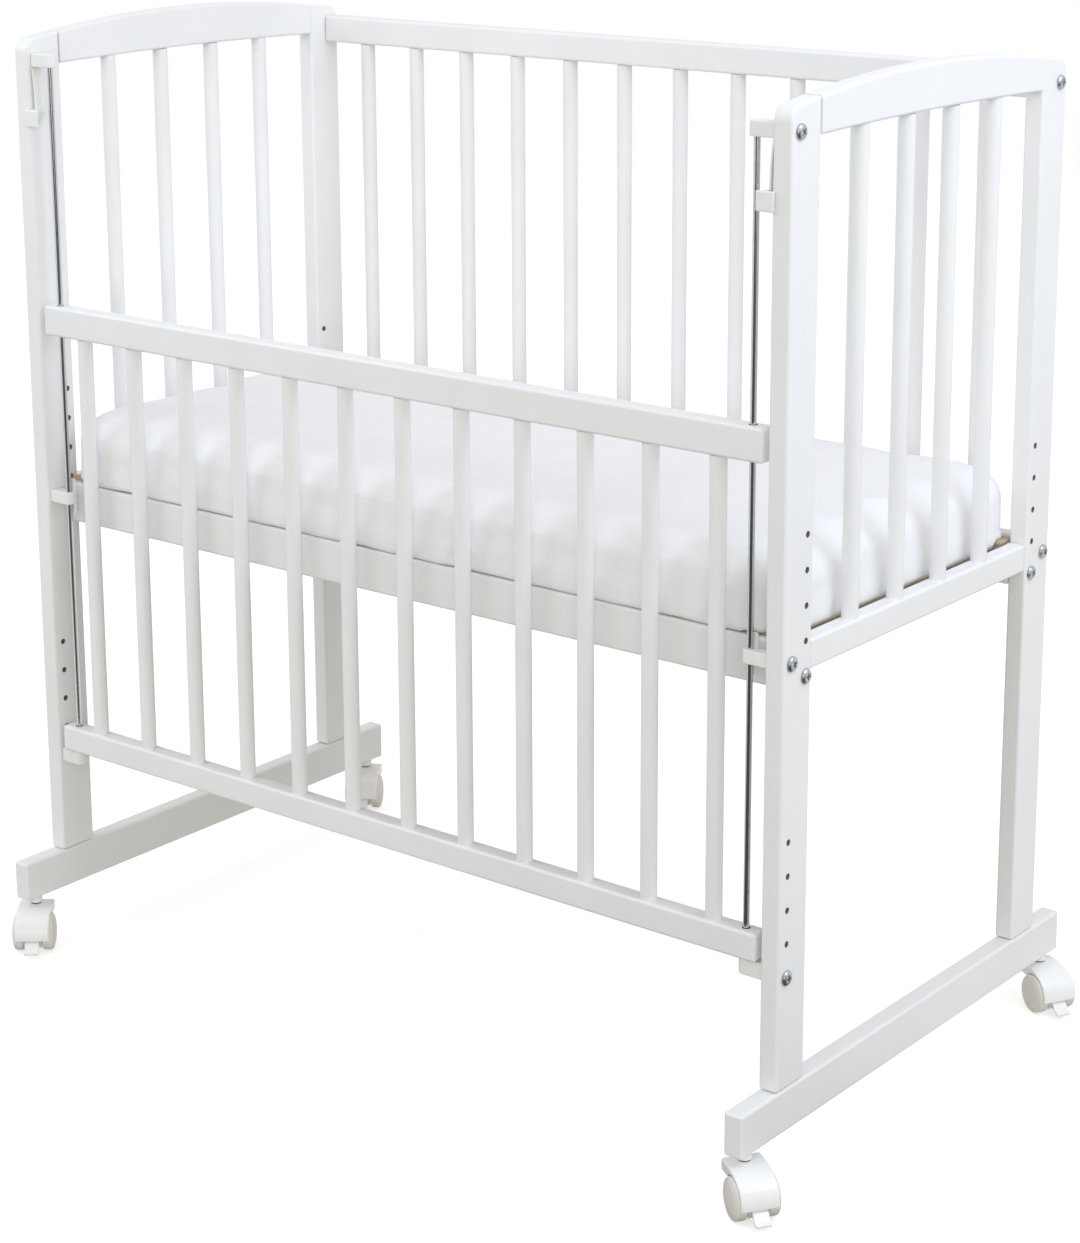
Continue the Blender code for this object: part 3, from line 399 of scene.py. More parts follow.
@dataclass(frozen=True)
class Metal(Finish):
    """Zinc plate or drawn bright steel."""

    scratch: float = 0.00002
    patchy: float = 0.12

    def draw(self, surface: Surface, grain: Grain) -> None:
        """Add drawing marks, dull patches and fine scratches.

        Args:
            surface: The material's tree of nodes.
            grain: The way that the metal was drawn.
        """
        drawn = surface.noise(2600.0, 3.0, grain, 0.1)
        patch = surface.noise(240.0, 3.0)
        surface.paint(self.light, self.dark, surface.ramp(patch * 0.7 + drawn * 0.3, 0.34, 0.7))
        surface.roughen(self.roughness + patch * self.patchy + drawn * self.patchy * 0.5)
        surface.emboss(drawn, self.scratch, 0.5)
        surface.fix(Metallic=1.0)


LACQUER = SatinLacquer("satin_lacquer", "white_wood", (0.875, 0.88, 0.885), (0.835, 0.84, 0.845),
                       0.42)
# Walls of the drilled holes: bare wood, made far darker than the raw board to paint in the shade
# inside the holes.
BORE_SHADE = BareWood("drilled_wood", "white_wood", (0.30, 0.25, 0.20), (0.20, 0.165, 0.13), 0.8)
BOARD = BareWood("raw_board", "raw_wood", (0.62, 0.49, 0.33), (0.47, 0.35, 0.22), 0.72)
SHEET = Cotton("cotton_cover", "cotton", (0.90, 0.90, 0.91), (0.86, 0.86, 0.875), 0.8)
FITTING = Moulding("moulded_fitting", "white_plastic", (0.87, 0.875, 0.865), (0.83, 0.835, 0.825),
                   0.34)
HOOD = Moulding("caster_hood", "caster_plastic", (0.92, 0.925, 0.925), (0.895, 0.90, 0.90), 0.22,
                coat=0.25)
CAP = Moulding("wheel_cap", "wheel_plastic", (0.89, 0.89, 0.87), (0.86, 0.86, 0.84), 0.3, coat=0.1)
TREAD = Moulding("caster_tread", "wheel_plastic", (0.84, 0.82, 0.765), (0.79, 0.77, 0.705), 0.46,
                 skin=0.00004)
ZINC = Metal("zinc_plate", "zinc", (0.58, 0.59, 0.60), (0.40, 0.41, 0.42), 0.27)
STEEL = Metal("bright_steel", "steel", (0.66, 0.67, 0.68), (0.58, 0.59, 0.60), 0.10,
              scratch=0.000003, patchy=0.04)


# Meshes


def filled(build: bmesh.types.BMesh) -> Mesh:
    """Return a mesh that holds a closed bmesh, its doubles merged and its faces turned outwards.

    Args:
        build: The bmesh, which is freed.

    Returns:
        The mesh.
    """
    bmesh.ops.remove_doubles(build, verts=build.verts, dist=MERGE)
    bmesh.ops.recalc_face_normals(build, faces=build.faces)
    mesh = bpy.data.meshes.new("mesh")
    build.to_mesh(mesh)
    build.free()
    return mesh


def arc(centre: tuple[float, float], radius: float, start: float, end: float,
        steps: int) -> list[tuple[float, float]]:
    """Return points on an arc between two angles in degrees.

    Args:
        centre: The arc's centre.
        radius: Its radius.
        start: Where it starts.
        end: Where it ends.
        steps: How many steps it is split into.

    Returns:
        The points, with one at each end.
    """
    angles = [math.radians(start + (end - start) * index / steps) for index in range(steps + 1)]
    return [(centre[0] + radius * math.cos(angle), centre[1] + radius * math.sin(angle))
            for angle in angles]


def prism(outline: Outline, low: float, high: float, axis: str = "X") -> Mesh:
    """Return an outline drawn out along an axis.

    Args:
        outline: Points in Y and Z, X and Z, or X and Y.
        low: Where it starts along the axis.
        high: Where it ends.
        axis: X, Y or Z.

    Returns:
        The mesh.
    """
    spread = {"X": lambda u, v, w: (w, u, v), "Y": lambda u, v, w: (u, w, v),
              "Z": lambda u, v, w: (u, v, w)}[axis]
    build = bmesh.new()
    rings = [[build.verts.new(spread(u, v, along)) for u, v in outline] for along in (low, high)]
    for ring in rings:
        build.faces.new(ring)
    for index in range(len(outline)):
        after = (index + 1) % len(outline)
        build.faces.new((rings[0][index], rings[0][after], rings[1][after], rings[1][index]))
    return filled(build)


def block(low: Sequence[float], high: Sequence[float]) -> Mesh:
    """Return a box between two opposite corners."""
    outline = [(low[1], low[2]), (high[1], low[2]), (high[1], high[2]), (low[1], high[2])]
    return prism(outline, low[0], high[0])


def lathe(profile: Outline, sides: int) -> Mesh:
    """Return a profile of (place along X, radius) pairs, turned about X.

    Args:
        profile: The pairs, from one end to the other.
        sides: How many sides the round has.

    Returns:
        The mesh.
    """
    build = bmesh.new()
    verts = [build.verts.new((along, 0.0, radius)) for along, radius in profile]
    edges = [build.edges.new(pair) for pair in zip(verts, verts[1:])]
    bmesh.ops.spin(build, geom=verts + edges, cent=(0, 0, 0), axis=(1, 0, 0), angle=2 * math.pi,
                   steps=sides, use_duplicate=False)
    return filled(build)


def cylinder(low: float, high: float, radius: float, sides: int, soft: float = 0.0) -> Mesh:
    """Return a round bar along X, with a chamfer at both ends if soft isn't 0.

    Args:
        low: Where it starts along X.
        high: Where it ends.
        radius: Its radius.
        sides: How many sides the round has.
        soft: The chamfer's size.

    Returns:
        The mesh.
    """
    ends = [(low, radius), (high, radius)]
    if soft:
        ends = [(low, radius - soft), (low + soft, radius), (high - soft, radius),
                (high, radius - soft)]
    return lathe([(low, 0), *ends, (high, 0)], sides)


def moved(mesh: Mesh, *places: Matrix) -> Mesh:
    """Return the mesh after moving its points by each matrix in turn.

    Args:
        mesh: The mesh, which is changed.
        places: The matrices, in order.

    Returns:
        The same mesh.
    """
    for place in places:
        mesh.transform(place)
    return mesh


def upright(mesh: Mesh, x: float = 0.0, y: float = 0.0) -> Mesh:
    """Return a mesh turned about X after standing it up along Z at a place."""
    return moved(mesh, Matrix.Rotation(-math.pi / 2, 4, "Y"), Matrix.Translation((x, y, 0)))


def link(name: str, mesh: Mesh) -> bpy.types.Object:
    """Return a new object in the scene that holds a mesh.

    Args:
        name: The object's name.
        mesh: What it holds.

    Returns:
        The object.
    """
    made = bpy.data.objects.new(name, mesh)
    bpy.context.scene.collection.objects.link(made)
    return made


def settled(piece: bpy.types.Object) -> Mesh:
    """Return a piece's evaluated mesh and remove the piece.

    Args:
        piece: The object, with its modifiers.

    Returns:
        The mesh.
    """
    bpy.context.view_layer.update()
    shown = piece.evaluated_get(bpy.context.evaluated_depsgraph_get())
    mesh = bpy.data.meshes.new_from_object(shown)
    bpy.data.objects.remove(piece, do_unlink=True)
    return mesh


def modified(mesh: Mesh, kind: str, **settings: Any) -> Mesh:
    """Return a mesh after one modifier with the given settings.

    Args:
        mesh: The mesh that is worked on.
        kind: The modifier's type.
        settings: The modifier's settings, by name.

    Returns:
        The result.
    """
    piece = link("worked", mesh)
    step = piece.modifiers.new("step", kind)
    for key, value in settings.items():
        setattr(step, key, value)
    return settled(piece)


def rounded(mesh: Mesh, radius: float, segments: int = 3) -> Mesh:
    """Return a mesh with its sharp edges rounded."""
    return modified(mesh, "BEVEL", width=radius, segments=segments, limit_method="ANGLE",
                    angle_limit=math.radians(40))


def combined(first: Mesh, operation: str, *others: Mesh) -> Mesh:
    """Return one solid after joining others to the first, or taking them from it.

    Args:
        first: The mesh that is worked on.
        operation: UNION, DIFFERENCE or INTERSECT.
        others: The other meshes, in order.

    Returns:
        The result.
    """
    for other in others:
        tool = link("tool", other)
        first = modified(first, "BOOLEAN", operation=operation, object=tool, solver="EXACT")
        bpy.data.objects.remove(tool, do_unlink=True)
    return first


def gathered(*meshes: Mesh) -> Mesh:
    """Return several meshes as one, each with its own finish.

    Args:
        meshes: The meshes, in place.

    Returns:
        The one mesh, whose finishes keep their order.
    """
    build = bmesh.new()
    whole = bpy.data.meshes.new("gathered")
    for mesh in meshes:
        offset, faces = len(whole.materials), len(build.faces)
        build.from_mesh(mesh)
        build.faces.ensure_lookup_table()
        for face in build.faces[faces:]:
            face.material_index += offset
        for finish in mesh.materials or [None]:
            whole.materials.append(finish)
    build.to_mesh(whole)
    build.free()
    return whole


def dressed(mesh: Mesh, *finishes: bpy.types.Material) -> Mesh:
    """Return a mesh with its materials set.

    Args:
        mesh: The mesh, which is changed.
        finishes: Its materials, in order.

    Returns:
        The same mesh.
    """
    mesh.materials.clear()
    for finish in finishes:
        mesh.materials.append(finish)
    return mesh


def drilled(mesh: Mesh, *holes: Mesh) -> Mesh:
    """Return a wooden mesh with holes cut in it, whose walls have its second material, dark bare
    wood with painted shade.

    Args:
        mesh: The mesh, dressed in its finish and in that of the walls.
        holes: The cutters, in place.

    Returns:
        The drilled mesh.
    """
    for hole in holes:
        dressed(hole, mesh.materials[0], BORE_SHADE.material())
        for face in hole.polygons:
            face.material_index = 1
    return combined(mesh, "DIFFERENCE", *holes)


def show(name: str, mesh: Mesh, finish: Finish, body: str = FRAME_BODY,
         stands_for: Sequence[str] | None = None, sharp: float = SHARP) -> bpy.types.Object:
    """Put a dressed mesh in the scene and set it on its body.

    Args:
        name: What the piece is, to which its name adds that it is finished.
        mesh: Its mesh, in place.
        finish: Its main finish, which is not used.
        body: The CAD body that it rides on.
        stands_for: The CAD nodes that it replaces, by itself the one of its name.
        sharp: The angle in degrees above which an edge stays sharp.

    Returns:
        The finished piece.
    """
    mesh.name = f"{name}_finished"
    mesh.shade_smooth()
    mesh.set_sharp_from_angle(angle=math.radians(sharp))
    piece = link(mesh.name, mesh)
    weigh = piece.modifiers.new("weigh", "WEIGHTED_NORMAL")
    weigh.keep_sharp = True
    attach(piece, body)
    nodes = [name] if stands_for is None else stands_for
    if nodes:
        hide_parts(*nodes)
    LOG.info("%s rides on %s", name, body)
    return piece


class Repeat(Tree):
    """A geometry tree that sets a copy of one piece on each point of a mesh."""

    def __init__(self) -> None:
        """Build the tree with its named inputs."""
        self.group = bpy.data.node_groups.new("repeat_on_points", "GeometryNodeTree")
        super().__init__(self.group)
        sockets = {"Points": "Geometry", "Piece": "Object", "Turn": "Vector", "Seed": "Int",
                   "Finish": "Material"}
        self.inputs = {name: self.group.interface.new_socket(name, in_out="INPUT",
                                                             socket_type=f"NodeSocket{kind}")
                       for name, kind in sockets.items()}
        self.group.interface.new_socket("Copies", in_out="OUTPUT", socket_type="NodeSocketGeometry")
        given = self.node("NodeGroupInput").outputs
        piece = self.node("GeometryNodeObjectInfo", None, {"Object": given["Piece"]})
        turn = self.node("FunctionNodeRandomValue", {"data_type": "FLOAT_VECTOR"},
                         {0: (0.0, 0.0, 0.0), 1: given["Turn"], "Seed": given["Seed"]})
        copies = self.node("GeometryNodeInstanceOnPoints", None,
                           {"Points": given["Points"], "Instance": piece.outputs["Geometry"],
                            "Rotation": turn.outputs[0]})
        real = self.node("GeometryNodeRealizeInstances", None, {"Geometry": copies.outputs[0]})
        painted = self.node("GeometryNodeSetMaterial", None,
                            {"Geometry": real.outputs[0], "Material": given["Finish"]})
        self.node("NodeGroupOutput", None, {0: painted.outputs[0]})

    def copies(self, mesh: Mesh, places: Places, finish: bpy.types.Material,
               turn: tuple[float, float, float], seed: int = 7) -> Mesh:
        """Return copies of a mesh as one plain mesh.

        Args:
            mesh: The mesh to repeat.
            places: Where each copy goes.
            finish: Their material.
            turn: The most that each copy is turned by chance about X, Y and Z, in radians.
            seed: What the chance starts from.

        Returns:
            The copies.
        """
        points = bpy.data.meshes.new("points")
        points.from_pydata([tuple(place) for place in places], [], [])
        carrier, piece = link("carrier", points), link("repeated", mesh)
        step = carrier.modifiers.new("repeat", "NODES")
        step.node_group = self.group
        for name, value in (("Piece", piece), ("Turn", turn), ("Seed", seed), ("Finish", finish)):
            step[self.inputs[name].identifier] = value
        made = settled(carrier)
        bpy.data.objects.remove(piece, do_unlink=True)
        return made


REPEAT = Repeat()


# The cot's plan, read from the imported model


def centre(node: str) -> Vector:
    """Return the middle of a CAD node's box."""
    low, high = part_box(node)
    return (low + high) / 2


@dataclass(frozen=True)
class Plan:
    """Places and sizes that several sub-assemblies share."""

    arch_rise: float = 0.012
    underside_rise: float = 0.003
    arch_rail: float = 0.034
    rail: float = 0.028
    spindle: float = 0.016
    spindle_sides: int = 28
    chamfer: float = 0.0006
    edge: float = 0.0032
    foot_bolt_drop: float = 0.010
    overcut: float = 0.003

    def middle(self) -> Vector:
        """Return the middle between the four posts, on the floor."""
        low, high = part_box("post_front_left")[0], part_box("post_back_right")[1]
        return Vector(((low.x + high.x) / 2, (low.y + high.y) / 2, 0.0))

    def seam(self) -> float:
        """Return the height at which the arched rails meet the posts."""
        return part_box("end_arch_rail_left")[0].z + self.arch_rail

    def gap(self) -> float:
        """Return half the distance between an end's two posts."""
        return (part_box("post_back_left")[0].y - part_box("post_front_left")[1].y) / 2

    def foot_bolt(self, side: str) -> float:
        """Return the height of the bolt that holds a rod's foot bracket."""
        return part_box(f"foot_bracket_{side}")[1].z - self.foot_bolt_drop

    def crown(self, y: float, rise: float, base: float) -> float:
        """Return the height of an arc over the gap.

        Args:
            y: The place across the cot, from its middle.
            rise: How far the arc rises in its middle.
            base: Its height over the gap's two ends.

        Returns:
            The height.
        """
        radius = (self.gap() ** 2 + rise ** 2) / (2 * rise)
        return base + rise - radius + math.sqrt(radius ** 2 - y ** 2)

    def arch_top(self, y: float) -> float:
        """Return the height of an end's curved top."""
        return self.crown(y, self.arch_rise, self.seam())

    def arch_underside(self, y: float) -> float:
        """Return the height of an arched rail's underside."""
        return self.crown(y, self.underside_rise, self.seam() - self.arch_rail)

    def planed(self, mesh: Mesh) -> Mesh:
        """Return a wooden mesh with the soft edges of the cot's rails and posts."""
        return rounded(mesh, self.edge, 4)

    def spindles(self, places: Places, length: float) -> Mesh:
        """Return turned spindles that stand on the given places.

        Args:
            places: The middle of each spindle's foot.
            length: Their length.

        Returns:
            The spindles as one mesh.
        """
        radius, soft = self.spindle / 2, self.chamfer
        profile = [(0, 0), (0, radius - soft), (soft, radius), (length / 2, radius),
                   (length - soft, radius), (length, radius - soft), (length, 0)]
        turned = upright(lathe(profile, self.spindle_sides))
        return REPEAT.copies(turned, places, LACQUER.material(Grain.ALONG_Z),
                             turn=(0.0, 0.0, math.tau))


PLAN = Plan()


def spaced(count: int, span: float) -> list[float]:
    """Return places spread evenly over a span about 0, with one at each end."""
    return [span * (index / (count - 1) - 0.5) for index in range(count)]


def shared(count: int) -> list[float]:
    """Return the shares from 0 to 1 that split a length into a count of steps."""
    return [index / count for index in range(count + 1)]


def long_rail(node: str, top: float | None = None) -> Mesh:
    """Return a lacquered rail along X that fills a CAD node's box, or its part below a height.

    Args:
        node: The CAD node.
        top: The height where the rail ends, if not at the box's top.

    Returns:
        The rail, dressed in lacquer and in the finish of its holes.
    """
    low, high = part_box(node)
    mesh = PLAN.planed(block(low, (high.x, high.y, high.z if top is None else top)))
    return dressed(mesh, LACQUER.material(Grain.ALONG_X), BORE_SHADE.material())


# Sub-assemblies


@dataclass(frozen=True)
class EndFrame:
    """One end of the cot: two posts, an arched rail, a lower rail with spindles, and the runner.

    The arch fields are for the arched rail, and the stub fields for its form where it goes on in
    a post.
    """

    side: str
    corner: float = 0.016
    spindle_count: int = 4
    hole: float = 0.0031
    hole_pitch: float = 0.0325
    hole_count: int = 4
    seam: float = 0.0005
    margin: float = 0.002
    arch_margin: float = 0.004
    arch_overrun: float = 0.02
    arch_points: int = 41
    stub_back: float = 0.006
    stub_length: float = 0.016
    stub_depth: float = 0.0045

    def rail_end(self, low: Vector, high: Vector, end: int) -> Mesh:
        """Return the arched rail's form in a post, which keeps the seam's edges crisp.

        Args:
            low: The post's lower corner.
            high: Its upper corner.
            end: -1 in front and 1 at the back.

        Returns:
            The mesh, in place.
        """
        middle, gap = PLAN.middle(), PLAN.gap()
        places = [gap - self.stub_back + self.stub_length * share for share in shared(6)]
        base = PLAN.seam() - PLAN.arch_rail
        outline = [(middle.y + y * end, PLAN.arch_top(y)) for y in places]
        outline += [(middle.y + y * end, base) for y in reversed(places)]
        reach = sorted((middle.y + gap * end, middle.y + (gap + self.stub_depth) * end))
        return combined(PLAN.planed(prism(outline, low.x, high.x)), "INTERSECT",
                        block((low.x - self.margin, reach[0], base - self.margin),
                              (high.x + self.margin, reach[1], high.z)))

    def post(self, end_name: str, end: int) -> None:
        """Build and dress one post with its spare holes.

        Args:
            end_name: front or back.
            end: -1 in front and 1 at the back.
        """
        node = f"post_{end_name}_{self.side}"
        low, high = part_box(node)
        middle, gap = PLAN.middle(), PLAN.gap()
        outer = (high.y - low.y) + gap
        turn = outer - self.corner
        top = [(y, PLAN.arch_top(y)) for y in (gap + (turn - gap) * share for share in shared(6))]
        round_top = arc((turn, PLAN.arch_top(turn) - self.corner), self.corner, 84, 0, 14)
        outline = [(middle.y + y * end, z) for y, z in
                   [(outer, low.z), (gap, low.z), *top, *round_top]]
        mesh = combined(PLAN.planed(prism(outline, low.x, high.x)), "UNION",
                        self.rail_end(low, high, end))
        dressed(mesh, LACQUER.material(Grain.ALONG_Z), BORE_SHADE.material())
        columns = [centre(f"base_bolt_{end_name}_{self.side}")]
        if end < 0:
            columns.append(Vector((0.0, centre(f"middle_bolt_front_{self.side}").y,
                                   PLAN.foot_bolt(self.side))))
        cutter = cylinder(low.x - PLAN.overcut, high.x + PLAN.overcut, self.hole, 20)
        holes = [moved(cutter.copy(),
                       Matrix.Translation((0, spot.y, spot.z + self.hole_pitch * step)))
                 for spot in columns for step in range(1, self.hole_count + 1)]
        show(node, drilled(mesh, *holes), LACQUER)

    def arch_rail(self) -> None:
        """Build and dress the arched rail."""
        node = f"end_arch_rail_{self.side}"
        low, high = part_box(node)
        middle = PLAN.middle()
        places = spaced(self.arch_points, high.y - low.y + self.arch_overrun)
        outline = [(middle.y + y, PLAN.arch_top(y)) for y in places]
        outline += [(middle.y + y, PLAN.arch_underside(y)) for y in reversed(places)]
        mesh = combined(PLAN.planed(prism(outline, low.x, high.x)), "INTERSECT",
                        block((low.x - self.margin, low.y + self.seam, low.z - self.arch_margin),
                              (high.x + self.margin, high.y - self.seam,
                               high.z + self.arch_margin)))
        show(node, dressed(mesh, LACQUER.material(Grain.ALONG_Y)), LACQUER)

    def grille(self) -> None:
        """Build and dress the lower rail with its spindles."""
        node = f"end_grille_{self.side}"
        low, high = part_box(node)
        middle = PLAN.middle()
        rail = PLAN.planed(block(low, (high.x, high.y, low.z + PLAN.rail)))
        pitch = 2 * PLAN.gap() / (self.spindle_count + 1)
        start = low.z + PLAN.rail / 2
        places = [((low.x + high.x) / 2, middle.y + y, start)
                  for y in spaced(self.spindle_count, pitch * (self.spindle_count - 1))]
        dressed(rail, LACQUER.material(Grain.ALONG_Y))
        show(node, gathered(rail, PLAN.spindles(places, high.z - start)), LACQUER)

    def runner(self) -> None:
        """Build and dress the runner."""
        node = f"runner_{self.side}"
        mesh = PLAN.planed(block(*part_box(node)))
        show(node, dressed(mesh, LACQUER.material(Grain.ALONG_Y)), LACQUER)

    def build(self) -> None:
        """Build the whole end."""
        self.post("front", -1)
        self.post("back", 1)
        self.arch_rail()
        self.grille()
        self.runner()


@dataclass(frozen=True)
class LongSides:
    """The fixed fence at the back, the two aprons and the drop side that slides in front."""

    spindle_count: int = 12
    end_margin: float = 0.052
    rod_hole: float = 0.004

    def spindle_places(self, y: float, z: float) -> Places:
        """Return where the long spindles stand, which is the same in front and at the back.

        Args:
            y: Their place across the cot.
            z: The height of their feet.

        Returns:
            The middles of their feet.
        """
        low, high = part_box("drop_side_top_rail")
        middle = PLAN.middle()
        return [(middle.x + x, y, z)
                for x in spaced(self.spindle_count, high.x - low.x - 2 * self.end_margin)]

    def grille(self, node: str, body: str, cuts: Sequence[Mesh] = ()) -> None:
        """Build and dress a long rail with its spindles.

        Args:
            node: The CAD node that it stands for.
            body: The body that it rides on.
            cuts: Cutters for holes through the rail.
        """
        low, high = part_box(node)
        start = low.z + PLAN.rail / 2
        places = self.spindle_places((low.y + high.y) / 2, start)
        rail = drilled(long_rail(node, low.z + PLAN.rail), *cuts)
        show(node, gathered(rail, PLAN.spindles(places, high.z - start)), LACQUER, body)

    def rod_cuts(self, low: float, high: float) -> list[Mesh]:
        """Return the cutters for the rods' holes between two heights.

        Args:
            low: The height of the rail's underside.
            high: The height of its top.

        Returns:
            The cutters, one for each rod.
        """
        rods = [centre(f"guide_rod_{side}") for side in SIDES]
        return [upright(cylinder(low - PLAN.overcut, high + PLAN.overcut, self.rod_hole, 28),
                        rod.x, rod.y) for rod in rods]

    def build(self) -> None:
        """Build the fence, the aprons and the drop side."""
        for node in ("back_top_rail", "back_apron", "front_apron"):
            show(node, long_rail(node), LACQUER)
        self.grille("back_grille", FRAME_BODY)
        node = "drop_side_top_rail"
        low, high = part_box(node)
        show(node, drilled(long_rail(node), *self.rod_cuts(low.z, high.z)), LACQUER, "drop_side")
        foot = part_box("drop_side_grille")[0].z
        self.grille("drop_side_grille", "drop_side", self.rod_cuts(foot, foot + PLAN.rail))


@dataclass(frozen=True)
class Base:
    """The raw base board on its three battens.

    The board's ends are tucked in under the mattress, but for an ear at each corner.
    """

    board: float = 0.003
    batten: float = 0.020
    batten_gap: float = 0.003
    apron_gap: float = 0.0004
    tuck: float = 0.014
    ear: float = 0.024
    board_edge: float = 0.0006
    batten_edge: float = 0.001

    def outline(self, low: Vector, high: Vector) -> list[tuple[float, float]]:
        """Return the board's outline.

        Args:
            low: The board's lower corner.
            high: Its upper corner.

        Returns:
            The outline in X and Y, with an ear at each corner.
        """
        left, right = low.x + self.tuck, high.x - self.tuck
        front, back = low.y + self.ear, high.y - self.ear
        return [(low.x, low.y), (high.x, low.y), (high.x, front), (right, front),
                (right, back), (high.x, back), (high.x, high.y), (low.x, high.y),
                (low.x, back), (left, back), (left, front), (low.x, front)]

    def build(self) -> None:
        """Build and dress the board and its battens."""
        low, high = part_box("base_board")
        top = high.z - self.board
        sheet = rounded(prism(self.outline(low, high), top, high.z, "Z"), self.board_edge, 2)
        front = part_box("front_apron")[1].y + self.apron_gap
        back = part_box("back_apron")[0].y - self.apron_gap
        middle = (low.x + high.x) / 2
        span = high.x - low.x - 2 * (self.tuck + self.batten_gap) - self.batten
        battens = [rounded(block((middle + x - self.batten / 2, front, low.z),
                                 (middle + x + self.batten / 2, back, top)),
                           self.batten_edge, 2)
                   for x in spaced(3, span)]
        parts = [dressed(sheet, BOARD.material(Grain.ALONG_X))]
        parts += [dressed(batten, BOARD.material(Grain.ALONG_Y)) for batten in battens]
        show("base_board", gathered(*parts), BOARD)


@dataclass(frozen=True)
class SlideGear:
    """One side's rod with its fittings and the spring latch that catches the raised rail.

    way is -1 on the left and 1 on the right. The fields from leaf_gap on shape the latch: its leaf,
    then its thumb pad, then its tooth.
    """

    side: str
    way: int
    rod_radius: float = 0.003
    rod_chamfer: float = 0.0005
    lug: float = 0.0065
    bracket_edge: float = 0.0012
    guide_edge: float = 0.001
    tab_half: float = 0.005
    tab_depth: float = 0.003
    tab_gap: float = 0.0003
    tab_edge: float = 0.0008
    leaf_gap: float = 0.0005
    leaf_top: float = 0.0017
    leaf_foot: float = 0.0024
    leaf_bow: float = 0.0034
    leaf_length: float = 0.0505
    leaf_edge: float = 0.0005
    pad_rise: float = 0.007
    pad_inset: float = 0.0012
    pad_back: float = 0.0044
    pad_inner: float = 0.0047
    pad_outer: float = 0.0140
    pad_edge: float = 0.0019
    tooth_reach: float = 0.003
    tooth_lip: float = 0.0015
    tooth_fall: float = 0.0125
    tooth_sink: float = 0.0012
    tooth_start: float = 0.001
    tooth_end: float = 0.011

    def lug_outline(self) -> list[tuple[float, float]]:
        """Return the outline in X and Y of a lug, from the post round the rod.

        Returns:
            The points, the first two on the post's face.
        """
        rod = centre(f"guide_rod_{self.side}")
        flat = self.post_side(f"foot_bracket_{self.side}")
        curve = [(rod.x + self.way * (x - rod.x), y)
                 for x, y in arc((rod.x, rod.y), self.lug, 90, 270, 24)]
        return [(flat, rod.y - self.lug), (flat, rod.y + self.lug), *curve]

    def post_side(self, node: str) -> float:
        """Return where a CAD node ends towards this side's post."""
        low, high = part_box(node)
        return low.x if self.way < 0 else high.x

    def brackets(self) -> None:
        """Build and dress the top bracket and the foot bracket."""
        for name in ("top_bracket", "foot_bracket"):
            node = f"{name}_{self.side}"
            low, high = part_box(node)
            mesh = rounded(prism(self.lug_outline(), low.z, high.z, "Z"), self.bracket_edge)
            show(node, dressed(mesh, FITTING.material()), FITTING)

    def mid_guide(self) -> None:
        """Build and dress the mid guide: a lug round the rod and a tab at its back."""
        node = f"mid_guide_{self.side}"
        low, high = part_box(node)
        x, z = centre(f"guide_rod_{self.side}").x, centre(f"middle_bolt_front_{self.side}").z
        lug = prism(self.lug_outline(), z - self.lug, z + self.lug, "Z")
        tab = block((x - self.tab_half, high.y - self.tab_depth, low.z),
                    (x + self.tab_half, high.y - self.tab_gap, high.z))
        mesh = gathered(rounded(lug, self.guide_edge), rounded(tab, self.tab_edge))
        show(node, dressed(mesh, FITTING.material()), FITTING)

    def rod(self) -> None:
        """Build and dress the steel rod, with a small chamfer at each end."""
        node = f"guide_rod_{self.side}"
        low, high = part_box(node)
        bar = cylinder(low.z, high.z, self.rod_radius, 32, self.rod_chamfer)
        mesh = upright(bar, (low.x + high.x) / 2, (low.y + high.y) / 2)
        show(node, dressed(mesh, STEEL.material(Grain.ALONG_Z)), STEEL)

    def latch(self) -> None:
        """Build and dress the latch: a bowed leaf, a rounded thumb pad and the tooth behind it."""
        node, way = f"latch_{self.side}", self.way
        low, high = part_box(node)
        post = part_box(f"post_front_{self.side}")
        leaf_out = (post[1] if way < 0 else post[0]).x - way * self.leaf_gap
        outer = [(leaf_out - way * self.leaf_bow * math.sin(share * math.pi / 2) ** 0.9,
                  high.z - self.leaf_length * share) for share in shared(20)]
        swell = (self.leaf_foot - self.leaf_top) / self.leaf_length
        inner = [(x - way * (self.leaf_top + swell * (high.z - z)), z) for x, z in reversed(outer)]
        middle = centre(f"guide_rod_{self.side}").y
        leaf = prism(outer + inner, middle - self.lug, middle + self.lug, "Y")
        top, back = high.z - self.leaf_length + self.pad_rise, low.y + self.pad_back
        reach = sorted((leaf_out + way * self.pad_inner, leaf_out - way * self.pad_outer))
        pad = block((reach[0], low.y + self.pad_inset, low.z - self.pad_inset),
                    (reach[1], back, top))
        root = leaf_out - way * self.leaf_bow
        tip = self.post_side("drop_side_top_rail") - way * self.tooth_reach
        tooth = prism([(root, top), (tip, top), (tip, top - self.tooth_lip),
                       (root - way * self.leaf_foot, top - self.tooth_fall),
                       (root - way * self.tooth_sink, top - self.tooth_fall)],
                      back - self.tooth_start, back + self.tooth_end, "Y")
        mesh = gathered(rounded(leaf, self.leaf_edge, 2), rounded(pad, self.pad_edge, 5),
                        rounded(tooth, self.leaf_edge, 2))
        show(node, dressed(mesh, FITTING.material()), FITTING, f"{self.side}_latch")

    def build(self) -> None:
        """Build the side's gear."""
        self.brackets()
        self.mid_guide()
        self.rod()
        self.latch()


